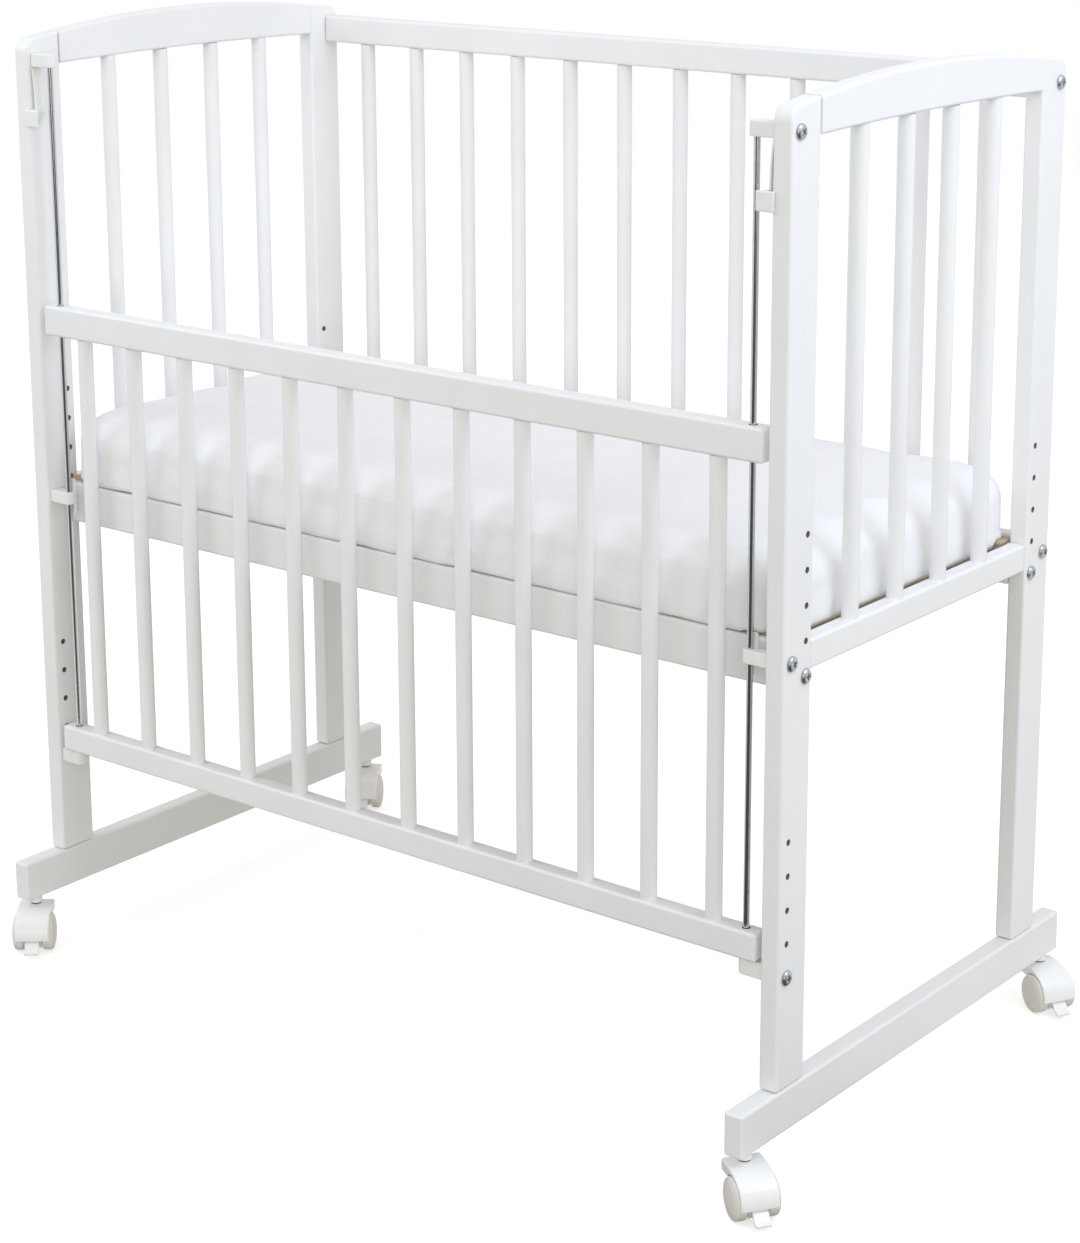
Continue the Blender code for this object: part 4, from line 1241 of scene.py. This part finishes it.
@dataclass(frozen=True)
class Bolts:
    """The zinc plated bolts of one end, all seen as chamfered heads with a cross recess."""

    side: str
    way: int
    head: float = 0.0072
    rise: float = 0.0034
    recess: float = 0.0034
    recess_depth: float = 0.0016
    blade: float = 0.0009
    seat: float = 0.0003
    rim: Outline = ((0.0010, 0.0), (0.0014, 0.0002), (0.0027, 0.0014), (0.0031, 0.0021),
                    (0.0033, 0.0036))

    def head_mesh(self) -> Mesh:
        """Return one head, its seat on the post and its chamfered face towards the outside.

        Returns:
            The mesh, with its seat at X = 0.
        """
        mesh = lathe([(0, 0), (0, self.head), *[(x, self.head - inset) for x, inset in self.rim],
                      (self.rise, 0)], 36)
        for turn in (0.0, math.pi / 2):
            blade = block((self.rise - self.recess_depth, -self.recess, -self.blade),
                          (self.rise + self.recess_depth, self.recess, self.blade))
            mesh = combined(mesh, "DIFFERENCE", moved(blade, Matrix.Rotation(turn, 4, "X")))
        return moved(mesh, Matrix.Rotation(0.0 if self.way > 0 else math.pi, 4, "Z"))

    def build(self) -> None:
        """Build and dress this end's heads, with the one at the foot bracket in the post."""
        nodes = [f"{kind}_bolt_{end}_{self.side}" for kind in ("top", "middle", "base")
                 for end in ("front", "back")]
        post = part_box(f"post_front_{self.side}")
        face = (post[0] if self.way < 0 else post[1]).x + self.way * self.seat
        places = [(face, spot.y, spot.z) for spot in (centre(node) for node in nodes)]
        places.append((face, places[2][1], PLAN.foot_bolt(self.side)))
        heads = REPEAT.copies(self.head_mesh(), places, ZINC.material(Grain.ALONG_X),
                              turn=(math.tau, 0.0, 0.0), seed=3 if self.way < 0 else 5)
        show(f"bolt_heads_{self.side}", heads, ZINC, stands_for=nodes, sharp=30)


@dataclass(frozen=True)
class Caster:
    """One braked twin-wheel caster, drawn in its own axes: X along the axle, wheels towards -Y.

    socket, bore and stem are a foot, a top and a radius about the swivel's axis. The turns are
    degrees about the axle.
    """

    place: str
    trail: float = 0.020
    wheel: float = 0.020
    track: float = 0.034
    wheel_width: float = 0.013
    hood_width: float = 0.0385
    hood_wall: float = 0.0023
    hood_round: float = 0.0026
    hood_top: float = 0.046
    hood_foot: float = 0.034
    shoulder_front: float = 0.0103
    shoulder_start: float = -0.004
    shoulder_run: float = 0.010
    shoulder_inset: float = 0.0002
    shoulder_edge: float = 0.0024
    fender_turns: tuple[float, float] = (52.0, 187.0)
    clearance: float = 0.001
    web: float = 0.0196
    web_turns: tuple[float, float] = (48.0, 222.0)
    cutter: float = 0.03
    voxel: float = 0.00055
    socket: tuple[float, float, float] = (0.0285, 0.045, 0.008)
    bore: tuple[float, float, float] = (0.033, 0.05, 0.0048)
    stem: tuple[float, float, float] = (0.0335, 0.079, 0.004)
    stem_chamfer: float = 0.0005
    collar_gap: float = 0.0012
    collar_top: float = 0.0547
    collar_radius: float = 0.00675
    collar_bore: float = 0.0041
    collar_foot_edge: float = 0.0008
    collar_top_edge: float = 0.0006
    pivot_radius: float = 0.0172
    pivot_turn: float = 196.0
    pivot_pin: float = 0.0012
    pivot_half: float = 0.0096
    lever_half: float = 0.00775
    lever_play: float = 0.0008
    lever_barrel: float = 0.0024
    lever_edge: float = 0.0007
    pocket_round: float = 0.0035
    pocket_length: float = 0.014
    pocket_back: float = 0.0018
    pocket_rise: float = 0.0015
    pocket_depth: float = 0.0105
    hub: float = 0.0034
    tread_round: float = 0.0014
    tread_flat: float = 0.0056
    rim_round: float = 0.0022
    rim_place: float = 0.0046
    hub_sink: float = 0.004
    cap_depth: float = 0.0024

    def seat(self) -> Matrix:
        """Return the caster's place and turn in the model, read from its stem and its wheels.

        Returns:
            The matrix from the caster's own axes to the model's.
        """
        stem = centre(f"caster_stem_{self.place}")
        first, second = (centre(f"caster_wheel_{self.place}_{label}") for label in WHEELS)
        across = second - first
        return (Matrix.Translation((stem.x, stem.y, 0))
                @ Matrix.Rotation(math.atan2(across.y, across.x), 4, "Z"))

    def on_axle(self, mesh: Mesh) -> Mesh:
        """Return a mesh that was turned about X, moved onto the axle."""
        return moved(mesh, Matrix.Translation((0, -self.trail, self.wheel)))

    def sector(self, radius: float, turns: tuple[float, float], half: float) -> Mesh:
        """Return a slice of a disc about the axle, between two angles in degrees."""
        axle = (-self.trail, self.wheel)
        return prism([axle, *arc(axle, radius, *turns, 40)], -half, half)

    def hood_mesh(self) -> Mesh:
        """Return the hood: a smooth fender that runs up into a broad shoulder, on a web.

        Returns:
            A copy of the one hood that is built, in the caster's own axes.
        """
        known = bpy.data.meshes.get("smooth_hood")
        if known:
            return known.copy()
        half, soft = self.hood_width / 2, self.hood_round
        well = self.wheel + self.clearance
        outer = well + self.hood_wall
        side = arc((half - soft, outer - soft), soft, 90, 0, 6)
        drum = self.on_axle(lathe([(-half, 0), *[(-x, r) for x, r in reversed(side)], *side,
                                   (half, 0)], 96))
        fender = combined(drum, "INTERSECT",
                          self.sector(2 * self.wheel, self.fender_turns, self.cutter))
        narrow = half - self.shoulder_inset
        shoulder = rounded(prism(self.shoulder_outline(outer), -narrow, narrow),
                           self.shoulder_edge, 4)
        web = self.sector(well - self.clearance / 2, self.web_turns,
                          self.web / 2 + self.clearance)
        mesh = combined(fender, "UNION", shoulder, web, upright(cylinder(*self.socket, 32)))
        wells = [self.on_axle(cylinder(way * self.web / 2, way * self.cutter, well, 96))
                 for way in (-1, 1)]
        wide = self.lever_half + self.lever_play
        mesh = combined(mesh, "DIFFERENCE", *wells, upright(cylinder(*self.bore, 32)),
                        prism(self.pocket_outline(), -wide, wide))
        mesh = modified(mesh, "REMESH", mode="VOXEL", voxel_size=self.voxel)
        mesh = modified(mesh, "SMOOTH", factor=0.5, iterations=5)
        mesh.name = "smooth_hood"
        mesh.use_fake_user = True
        return mesh.copy()

    def shoulder_outline(self, outer: float) -> Outline:
        """Return the shoulder's outline in Y and Z, down into a fender of the given radius.

        Args:
            outer: The fender's radius.

        Returns:
            The outline.
        """
        start, end = self.shoulder_start, -self.trail - self.shoulder_run
        foot = self.wheel + math.sqrt(outer ** 2 - self.shoulder_run ** 2)
        fall = -self.shoulder_run / (foot - self.wheel) * (end - start)
        curve = []
        for share in shared(12):
            drop = (3 - 2 * share) * share ** 2 * (self.hood_top - foot)
            drop += (share - 1) * share ** 2 * fall
            curve.append((start + (end - start) * share, self.hood_top - drop))
        return [(self.shoulder_front, self.hood_foot), (self.shoulder_front, self.hood_top),
                *curve, (end, self.hood_foot)]

    def pocket_outline(self) -> Outline:
        """Return the outline in Y and Z of the pocket that the brake lever tilts in.

        Returns:
            The outline.
        """
        y, z = self.lever_pivot()
        front, foot = y - self.pocket_length, z - self.pocket_depth
        return [*arc((y, z), self.pocket_round, -60, 150, 12), (front, z + self.pocket_rise),
                (front, foot), (y + self.pocket_back, foot)]

    def lever_pivot(self) -> tuple[float, float]:
        """Return the brake lever's pivot in Y and Z.

        Returns:
            The two coordinates, in the caster's own axes.
        """
        turn = math.radians(self.pivot_turn)
        return (-self.trail + self.pivot_radius * math.cos(turn),
                self.wheel + self.pivot_radius * math.sin(turn))

    def lever_mesh(self) -> Mesh:
        """Return the brake lever: a barrel and a foot plate that falls away in a soft curve.

        Returns:
            The lever with its pins, in the caster's own axes.
        """
        y, z = self.lever_pivot()
        top = [(-0.0028, 0.0006), (-0.0045, 0.0), (-0.0062, -0.0016), (-0.0085, -0.0045),
               (-0.0107, -0.0066), (-0.0130, -0.0078), (-0.0150, -0.0085)]
        under = [(-0.0145, -0.0107), (-0.0125, -0.0100), (-0.0100, -0.0087), (-0.0076, -0.0066),
                 (-0.0054, -0.0040), (-0.0036, -0.0022), (-0.0018, -0.0022)]
        barrel = arc((0, 0), self.lever_barrel, -50, 144, 14)
        outline = [(y + u, z + v) for u, v in [*barrel, *top, *under]]
        plate = rounded(prism(outline, -self.lever_half, self.lever_half), self.lever_edge)
        pins = cylinder(-self.pivot_half, self.pivot_half, self.pivot_pin, 20)
        return gathered(plate, moved(pins, Matrix.Translation((0, y, z))))

    def wheel_mesh(self, way: int) -> Mesh:
        """Return one wheel, its tread in the first material and its domed cap in the second.

        Args:
            way: -1 for the wheel at -X and 1 for the one at +X.

        Returns:
            The mesh, in place.
        """
        inner, outer = ((self.track + sign * self.wheel_width) / 2 for sign in (-1, 1))
        radius, groove, hub = self.wheel, outer - self.cap_depth, self.hub
        soft, rim = self.tread_round, self.rim_round
        tread = [(inner, hub), (inner, radius - soft - 0.0002),
                 *arc((inner + soft, radius - soft), soft, 180, 90, 4),
                 (outer - self.tread_flat, radius),
                 *arc((outer - self.rim_place, radius - rim), rim, 90, 20, 5)]
        lip = [(groove, radius - rim), (groove + 0.0003, radius - rim - 0.0005),
               (groove, radius - rim - 0.001)]
        dome = [(groove + self.cap_depth * math.sin(turn), (radius - hub) * math.cos(turn))
                for turn in (math.pi / 2 * share for share in shared(10)[:-1])]
        sunk = outer - self.hub_sink
        profile = [(sunk, 0), (sunk, hub), *tread, *lip, *dome, (outer, 0)]
        mesh = self.on_axle(lathe([(way * x, r) for x, r in profile], 72))
        for face in mesh.polygons:
            spot = face.center
            reach = math.hypot(spot.y + self.trail, spot.z - self.wheel)
            capped = abs(spot.x) > groove - 0.0002 and reach < radius - rim + 0.0001
            face.material_index = int(capped)
        return mesh

    def collar_mesh(self) -> Mesh:
        """Return the white collar round the pin, which leaves a thin dark ring over the hood.

        Returns:
            The mesh, in the caster's own axes.
        """
        low, high = self.hood_top + self.collar_gap, self.collar_top
        radius, bore = self.collar_radius, self.collar_bore
        foot, top = self.collar_foot_edge, self.collar_top_edge
        profile = [(low, bore), (low, radius - foot), (low + foot, radius),
                   (high - top, radius), (high, radius - top), (high, bore), (low, bore)]
        return upright(lathe(profile, 40))

    def build(self) -> None:
        """Build the caster's pieces and set each on its body."""
        place, seat, plain = self.place, self.seat(), {}
        stem = upright(cylinder(*self.stem, 32, self.stem_chamfer))
        pieces = [(f"hood_{place}", self.hood_mesh(), (HOOD,), f"{place}_caster", {"sharp": 180})]
        pieces += [(f"wheel_{place}_{label}", self.wheel_mesh(way), (TREAD, CAP),
                    f"{place}_wheel_{label}", {"sharp": 60}) for label, way in WHEELS.items()]
        pieces += [(f"brake_{place}", self.lever_mesh(), (HOOD,), f"{place}_brake", plain),
                   (f"stem_{place}", stem, (STEEL,), FRAME_BODY, plain),
                   (f"collar_{place}", self.collar_mesh(), (FITTING,), FRAME_BODY,
                    {"stands_for": ()})]
        for name, mesh, finishes, body, options in pieces:
            dressed(moved(mesh, seat), *(finish.material() for finish in finishes))
            show(f"caster_{name}", mesh, finishes[0], body, **options)


@dataclass(frozen=True)
class Mattress:
    """The padded mattress in its white cotton cover, blown up by a cloth simulation.

    The lower part keeps the slack slab's straight sides, and the upper part is the blown one's.
    """

    voxel: float = 0.0065
    slack: float = 0.006
    corner: float = 0.036
    top_edge: float = 0.026
    foot_edge: float = 0.005
    pressure: float = 4.0
    frames: int = 20
    cap: float = 0.010
    blend_start: float = 0.12
    blend: float = 0.5
    skim: float = 0.0002
    cover: float = 0.0016
    pinch_depth: float = 0.0024
    pinch_width: float = 0.0065
    pinch_pitch: float = 0.034
    pinch_span: float = 3.5
    pair: float = 1.7
    pair_dip: float = 0.6
    broad_wrinkle: float = 0.55
    fine_wrinkle: float = 0.18
    dent: float = 0.0008
    ripple: float = 0.0003
    flat_share: float = 0.6
    flat_stretch: float = 2.25
    foot: float = 0.0085
    end_droop: float = 0.0065
    side_droop: float = 0.0029
    side_droop_most: float = 0.0033
    droop_fade: float = 0.004
    droop_rise: float = 0.2
    hem: float = 0.012
    seed: int = 23

    def start_mesh(self, low: Vector, high: Vector) -> Mesh:
        """Return the slack slab that the simulation starts from, smaller than its space.

        Args:
            low: The mattress's lower corner.
            high: Its upper corner.

        Returns:
            The slab.
        """
        top, foot = self.top_edge, self.foot_edge
        turns = [math.pi / 2 * share for share in shared(5)]
        thick = high.z - low.z - self.slack
        rings = [(foot - foot * math.sin(turn), foot - foot * math.cos(turn)) for turn in turns]
        rings += [(top - top * math.cos(turn), thick - top + top * math.sin(turn))
                  for turn in turns]
        build = bmesh.new()
        loops = []
        for inset, height in rings:
            inner = Vector((1, 1)) * (self.slack + inset)
            reach = [high.xy - inner, low.xy + inner]
            corner = self.corner - inset / 2
            outline = []
            for far_x, far_y, start in ((0, 0, 0), (1, 0, 90), (1, 1, 180), (0, 1, 270)):
                spot = (reach[far_x].x + (far_x * 2 - 1) * corner,
                        reach[far_y].y + (far_y * 2 - 1) * corner)
                outline += arc(spot, corner, start, start + 90, 8)
            loops.append([build.verts.new((x, y, low.z + height)) for x, y in outline])
        for lower, upper in zip(loops, loops[1:]):
            for index, vert in enumerate(lower):
                after = (index + 1) % len(lower)
                build.faces.new((vert, lower[after], upper[after], upper[index]))
        build.faces.new(loops[0])
        build.faces.new(loops[-1])
        return filled(build)

    def blown(self, mesh: Mesh) -> Mesh:
        """Return the mesh after the cloth simulation, each point moved no further than the cap.

        Args:
            mesh: The slack slab.

        Returns:
            The blown mesh, with the same points.
        """
        rest = [vert.co.copy() for vert in mesh.vertices]
        piece = link("mattress_cloth", mesh)
        cloth = piece.modifiers.new("cloth", "CLOTH")
        for key, value in {"quality": 5, "mass": 0.4, "tension_stiffness": 15,
                           "compression_stiffness": 15, "shear_stiffness": 8,
                           "bending_stiffness": 2.5, "use_pressure": True,
                           "uniform_pressure_force": self.pressure}.items():
            setattr(cloth.settings, key, value)
        cloth.settings.effector_weights.gravity = 0
        cloth.collision_settings.use_collision = False
        cloth.point_cache.frame_start, cloth.point_cache.frame_end = 1, self.frames
        for step in range(1, self.frames + 1):
            bpy.context.scene.frame_set(step)
        mesh = settled(piece)
        bpy.context.scene.frame_set(1)
        for vert, start in zip(mesh.vertices, rest):
            move = vert.co - start
            if move.length > self.cap:
                vert.co = start + move.normalized() * self.cap
        return mesh

    def fitted(self, mesh: Mesh, low: Vector, high: Vector) -> None:
        """Fit the mesh into its space, less the cover's folds, with a flat foot on the board.

        Args:
            mesh: The mattress's mesh, which is changed.
            low: The mattress's lower corner.
            high: Its upper corner.
        """
        for axis in range(3):
            places = [vert.co[axis] for vert in mesh.vertices]
            first = low.z if axis == 2 else min(places)
            span = max(places) - first
            margin = self.cover if axis < 2 else self.skim
            goal = high[axis] - low[axis] - 2 * margin
            for vert in mesh.vertices:
                vert.co[axis] = low[axis] + margin + (vert.co[axis] - first) / span * goal
        for vert in mesh.vertices:
            height = vert.co.z - low.z
            if height < self.foot_edge:
                height = max(0.0, height - self.foot_edge * self.flat_share) * self.flat_stretch
                vert.co.z = low.z + self.skim + height

    def pinches(self, face: int, start: float, end: float) -> list[tuple[float, ...]]:
        """Return the pinched folds along one side of the cover.

        Args:
            face: The side's number.
            start: Where the side starts.
            end: Where it ends.

        Returns:
            Each fold's place, lean, reach up the side and depth.
        """
        chance = random.Random(self.seed + face)
        count = max(2, round((end - start) / self.pinch_pitch))
        return [(start + (end - start) * (index + chance.uniform(0.15, 0.85)) / count,
                 chance.uniform(-0.020, 0.055), chance.uniform(0.28, 0.75),
                 self.pinch_depth * chance.uniform(0.25, 1.0) ** 1.5) for index in range(count)]

    def pinched(self, folds: Places, along: float, rise: float) -> float:
        """Return how far a side's pinched folds lift a point.

        Args:
            folds: The side's folds.
            along: The point's place along the side.
            rise: Its share of the mattress's height.

        Returns:
            The lift.
        """
        lift = 0.0
        for place, lean, reach, depth in folds:
            offset = (along - place - lean * rise) / (self.pinch_width * (1 + rise))
            if abs(offset) < self.pinch_span and rise < reach:
                fade = (1 - rise / reach) ** 1.2
                dip = self.pair_dip * math.exp(-(offset - self.pair) ** 2)
                lift += depth * fade * (math.exp(-offset ** 2) - dip)
        return lift

    def folded(self, mesh: Mesh, low: Vector, high: Vector) -> None:
        """Draw the cover's pinched folds, soft wrinkles and uneven hem into the mesh.

        Args:
            mesh: The mattress's mesh, which is changed.
            low: The mattress's lower corner.
            high: Its upper corner.
        """
        folds = [self.pinches(face, low[axis], high[axis])
                 for face, axis in enumerate((0, 0, 1, 1))]
        for vert, normal in zip(mesh.vertices, [vert.normal.copy() for vert in mesh.vertices]):
            spot = vert.co.copy()
            rise = (spot.z - low.z) / (high.z - low.z)
            side = max(0.0, 1.0 - abs(normal.z) * 1.25)
            if side > 0.0:
                across = 1 if abs(normal.y) > abs(normal.x) else 0
                face = 2 * (1 - across) + int(normal[across] >= 0)
                lift = self.pinched(folds[face], spot[1 - across], rise)
                broad = waves(spot, (8, 8, 55), (3.1, 7.7, 1.3))
                fine = waves(spot, (30, 30, 90), (9.0, 2.0, 4.0))
                wrinkle = self.broad_wrinkle * broad + self.fine_wrinkle * fine
                vert.co += normal * side * (lift + self.cover * wrinkle)
            elif normal.z > 0.5:
                vert.co.z += (self.dent * waves(spot, (5, 5, 0), (0, 0, 0.4))
                              + self.ripple * waves(spot, (14, 22, 0), (0, 0, 2.4)))
            for axis in range(3):
                vert.co[axis] = min(max(vert.co[axis], low[axis] + self.skim),
                                    high[axis] - self.skim)
            if rise < self.droop_rise:
                self.hang(vert, spot, low, high)

    def hang(self, vert: bpy.types.MeshVertex, spot: Vector, low: Vector, high: Vector) -> None:
        """Let the cover's hem hang at the ends, and a little along the sides.

        Args:
            vert: A point near the underside.
            spot: Where it was before it was folded.
            low: The mattress's lower corner.
            high: Its upper corner.
        """
        near = max(0.0, 1 - self.inside(spot, low, high) / self.hem)
        reach = self.reach(spot, low, high)
        if reach[0] > reach[1]:
            droop = most = self.end_droop
        else:
            most = self.side_droop_most
            droop = self.side_droop * min(1.0, 0.85 + 0.5 * waves(spot, (22, 22, 0), (0, 0, 5.0)))
        droop *= min(max(-min(reach) / self.droop_fade, 0.0), 1.0) * min(1.0, 1.8 * near)
        rise = (spot.z - low.z) / (high.z - low.z)
        vert.co.z = max(vert.co.z - droop * (1 - rise / self.droop_rise), low.z - most)

    def reach(self, spot: Vector, low: Vector, high: Vector) -> list[float]:
        """Return how far a point lies past where the corners start to round, along X and Y.

        Args:
            spot: The point.
            low: The mattress's lower corner.
            high: Its upper corner.

        Returns:
            The two distances, below 0 before that place.
        """
        return [abs(spot[axis] - (low[axis] + high[axis]) / 2) - (high[axis] - low[axis]) / 2
                + self.corner for axis in range(2)]

    def inside(self, spot: Vector, low: Vector, high: Vector) -> float:
        """Return how far inside the mattress's rounded outline a point lies.

        Args:
            spot: The point.
            low: The mattress's lower corner.
            high: Its upper corner.

        Returns:
            The distance, below 0 outside.
        """
        reach = self.reach(spot, low, high)
        past = math.hypot(max(reach[0], 0.0), max(reach[1], 0.0))
        return self.corner - past - min(max(reach), 0.0)

    def squared(self, mesh: Mesh, low: Vector, high: Vector) -> None:
        """Square the edge between the sides and the underside, which the remesh has rounded.

        Args:
            mesh: The mattress's mesh, which is changed.
            low: The mattress's lower corner.
            high: Its upper corner.
        """
        for vert, normal in zip(mesh.vertices, [vert.normal.copy() for vert in mesh.vertices]):
            across = 1 - (self.inside(vert.co, low, high) - self.cover) / self.foot
            down = 1 - (vert.co.z - low.z) / self.foot
            if min(across, down) > 0 and math.hypot(across, down) > 0.8:
                grow = self.foot * (1 / max(across, down) - 1)
                vert.co += Vector((normal.x, normal.y, 0.0)).normalized() * across * grow
                vert.co.z -= down * grow

    def build(self) -> None:
        """Build and dress the mattress."""
        low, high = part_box("mattress")
        mesh = modified(self.start_mesh(low, high), "REMESH", mode="VOXEL", voxel_size=self.voxel)
        slack = mesh.copy()
        self.fitted(slack, low, high)
        mesh = self.blown(mesh)
        self.fitted(mesh, low, high)
        for vert, kept in zip(mesh.vertices, slack.vertices):
            height = (kept.co.z - low.z) / (high.z - low.z)
            share = min(max((height - self.blend_start) / self.blend, 0.0), 1.0)
            vert.co = kept.co.lerp(vert.co, (3 - 2 * share) * share ** 2)
        mesh = modified(mesh, "SUBSURF", levels=1, render_levels=1)
        self.squared(mesh, low, high)
        self.folded(mesh, low, high)
        piece = show("mattress", dressed(mesh, SHEET.material()), SHEET, sharp=180)


def waves(spot: Vector, pitch: Sequence[float], start: Sequence[float]) -> float:
    """Return a soft noise between -1 and 1 at a point, of a pitch along each axis."""
    return noise.noise(Vector([place * wave for place, wave in zip(spot, pitch)]) + Vector(start))


# Stage, light and camera


@dataclass(frozen=True)
class Stage:
    """The white floor, the even light and the camera.

    The floor and the room are white to the camera. The floor is beige to the light, and metal
    shows both with one dark corner, from room_light down to corner_light.
    """

    floor_radius: float = 6.0
    floor_glow: float = 0.62
    room_light: float = 0.95
    corner_light: float = 0.08
    corner_way: tuple[float, float, float] = (0.62, -0.78, 0.0)
    corner_start: float = 0.30
    corner_end: float = 0.82
    world_light: float = 0.74
    world_colour: Colour = (1.0, 0.975, 0.935)
    fill_light: float = 0.69
    fill_colour: Colour = (0.99, 0.985, 0.945)
    window_size: float = 1.2
    window_colour: Colour = (0.68, 0.80, 1.0)

    def floor(self) -> None:
        """Lay a wide floor that keeps the cot's faint shadow."""
        mesh = prism(arc((0.0, 0.0), self.floor_radius, 0, 354, 59), -0.004, 0.0, "Z")
        floor = link("floor", mesh)
        surface = Surface("studio_floor")
        surface.paint((0.46, 0.44, 0.40), (0.42, 0.405, 0.365), surface.noise(3.0))
        surface.roughen(0.85 + surface.noise(30.0) * 0.1)
        bright = surface.node("ShaderNodeBsdfPrincipled", None,
                              {"Base Color": (0.60, 0.60, 0.60, 1.0), "Roughness": 0.9,
                               "Emission Color": WHITE, "Emission Strength": self.floor_glow})
        way = surface.node("ShaderNodeVectorMath", {"operation": "NORMALIZE"},
                           {0: surface.place}).outputs[0]
        shown = surface.node("ShaderNodeEmission", None,
                             {"Strength": self.dark_corner(surface, way)})
        mixed = self.by_ray(surface, surface.shader, shown, bright)
        output = next(node for node in surface.nodes.nodes if node.type == "OUTPUT_MATERIAL")
        surface.nodes.links.new(mixed.outputs[0], output.inputs["Surface"])
        dressed(mesh, surface.material)

    def by_ray(self, tree: Tree, look: bpy.types.Node, metal: bpy.types.Node,
               camera: bpy.types.Node) -> bpy.types.Node:
        """Return a shader that looks different to metal and to the camera.

        Args:
            tree: The tree that it goes into.
            look: What all other light meets.
            metal: What metal shows.
            camera: What the camera sees.

        Returns:
            The last node.
        """
        rays = tree.node("ShaderNodeLightPath").outputs
        for ray, other in (("Is Glossy Ray", metal), ("Is Camera Ray", camera)):
            look = tree.node("ShaderNodeMixShader", None,
                             {0: rays[ray], 1: look.outputs[0], 2: other.outputs[0]})
        return look

    def dark_corner(self, tree: Tree, way: bpy.types.NodeSocket) -> bpy.types.NodeSocket:
        """Return how bright the room is that metal shows, in a direction.

        Args:
            tree: The tree that the nodes go into.
            way: The direction's socket.

        Returns:
            The brightness's socket.
        """
        corner = tree.node("ShaderNodeVectorMath", {"operation": "DOT_PRODUCT"},
                           {0: way, 1: self.corner_way}).outputs["Value"]
        return tree.node("ShaderNodeMapRange", {"interpolation_type": "SMOOTHSTEP"},
                         {"Value": corner, "From Min": self.corner_start,
                          "From Max": self.corner_end, "To Min": self.room_light,
                          "To Max": self.corner_light}).outputs[0]

    def world(self) -> None:
        """Make the room, whose light is soft and warm."""
        world = bpy.data.worlds.new("studio")
        bpy.context.scene.world = world
        world.use_nodes = True
        tree = Tree(world.node_tree)
        tree.nodes.nodes.clear()
        way = tree.node("ShaderNodeTexCoord").outputs["Generated"]
        shown, light, white = (
            tree.node("ShaderNodeBackground", None, {"Color": colour, "Strength": strength})
            for colour, strength in ((WHITE, self.dark_corner(tree, way)),
                                     ((*self.world_colour, 1.0), self.world_light),
                                     (WHITE, 1.0)))
        room = self.by_ray(tree, light, shown, white)
        tree.node("ShaderNodeOutputWorld", None, {"Surface": room.outputs[0]})

    def lamp(self, name: str, data: bpy.types.Light, energy: float, colour: Colour,
             place: Vector, target: Vector) -> None:
        """Hang a lamp.

        Args:
            name: Its name.
            data: Its light.
            energy: Its strength.
            colour: Its colour.
            place: Where it hangs.
            target: What it faces.
        """
        data.energy, data.color = energy, colour
        lamp = bpy.data.objects.new(name, data)
        lamp.location = place
        lamp.rotation_euler = (place - target).to_track_quat("Z", "Y").to_euler()
        bpy.context.scene.collection.objects.link(lamp)

    def light(self) -> None:
        """Light the cot with a low soft fill and two cool windows, high on both sides."""
        self.world()
        fill = bpy.data.lights.new("fill", "SUN")
        fill.angle, fill.specular_factor = math.radians(45), 0.1
        self.lamp("fill", fill, self.fill_light, self.fill_colour, facing(43, 13), Vector())
        for name, place, watts in (("window_right", (1.6, 0.0, 1.9), 14.5),
                                   ("window_left", (-1.3, -1.3, 1.8), 10.0)):
            window = bpy.data.lights.new(name, "AREA")
            window.size = self.window_size
            self.lamp(name, window, watts, self.window_colour, Vector(place),
                      Vector((0.0, 0.0, 0.5)))

    def camera(self) -> None:
        """Place the camera that the photograph was fitted with."""
        turn, tilt, roll = 38.57155, 13.58327, math.radians(-0.24639)
        back, right = facing(turn, tilt), facing(turn + 90, 0)
        up = back.cross(right)
        across = right * math.cos(roll) + up * math.sin(roll)
        upward = up * math.cos(roll) - right * math.sin(roll)
        place = Matrix((across, upward, back)).transposed().to_4x4()
        place.translation = PLAN.middle() + Vector((1.776682, -2.197263, 1.284565))
        lens = bpy.data.cameras.new("camera")
        lens.lens, lens.sensor_width, lens.shift_y = 81.43316, 36.0, -0.15406
        camera = bpy.data.objects.new("camera", lens)
        camera.matrix_world = place
        bpy.context.scene.collection.objects.link(camera)
        bpy.context.scene.camera = camera
        bpy.context.scene.view_settings.view_transform = "Standard"

    def build(self) -> None:
        """Set up floor, light and camera."""
        self.floor()
        self.light()
        self.camera()


def facing(turn: float, height: float) -> Vector:
    """Return a direction, from its turn about Z from the drop side and its height, in degrees.

    Args:
        turn: The turn about Z, from the drop side towards +X.
        height: The rise over the floor.

    Returns:
        The direction, of length 1.
    """
    turn, height = math.radians(turn), math.radians(height)
    return Vector((math.sin(turn) * math.cos(height), -math.cos(turn) * math.cos(height),
                   math.sin(height)))


def main() -> None:
    """Build the cot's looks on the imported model."""
    logging.basicConfig(level=logging.INFO, format="%(message)s")
    for side, way in SIDES.items():
        EndFrame(side).build()
        SlideGear(side, way).build()
        Bolts(side, way).build()
    LongSides().build()
    Base().build()
    for place in PLACES:
        Caster(place).build()
    Mattress().build()
    Stage().build()


if __name__ == "__main__":
    main()
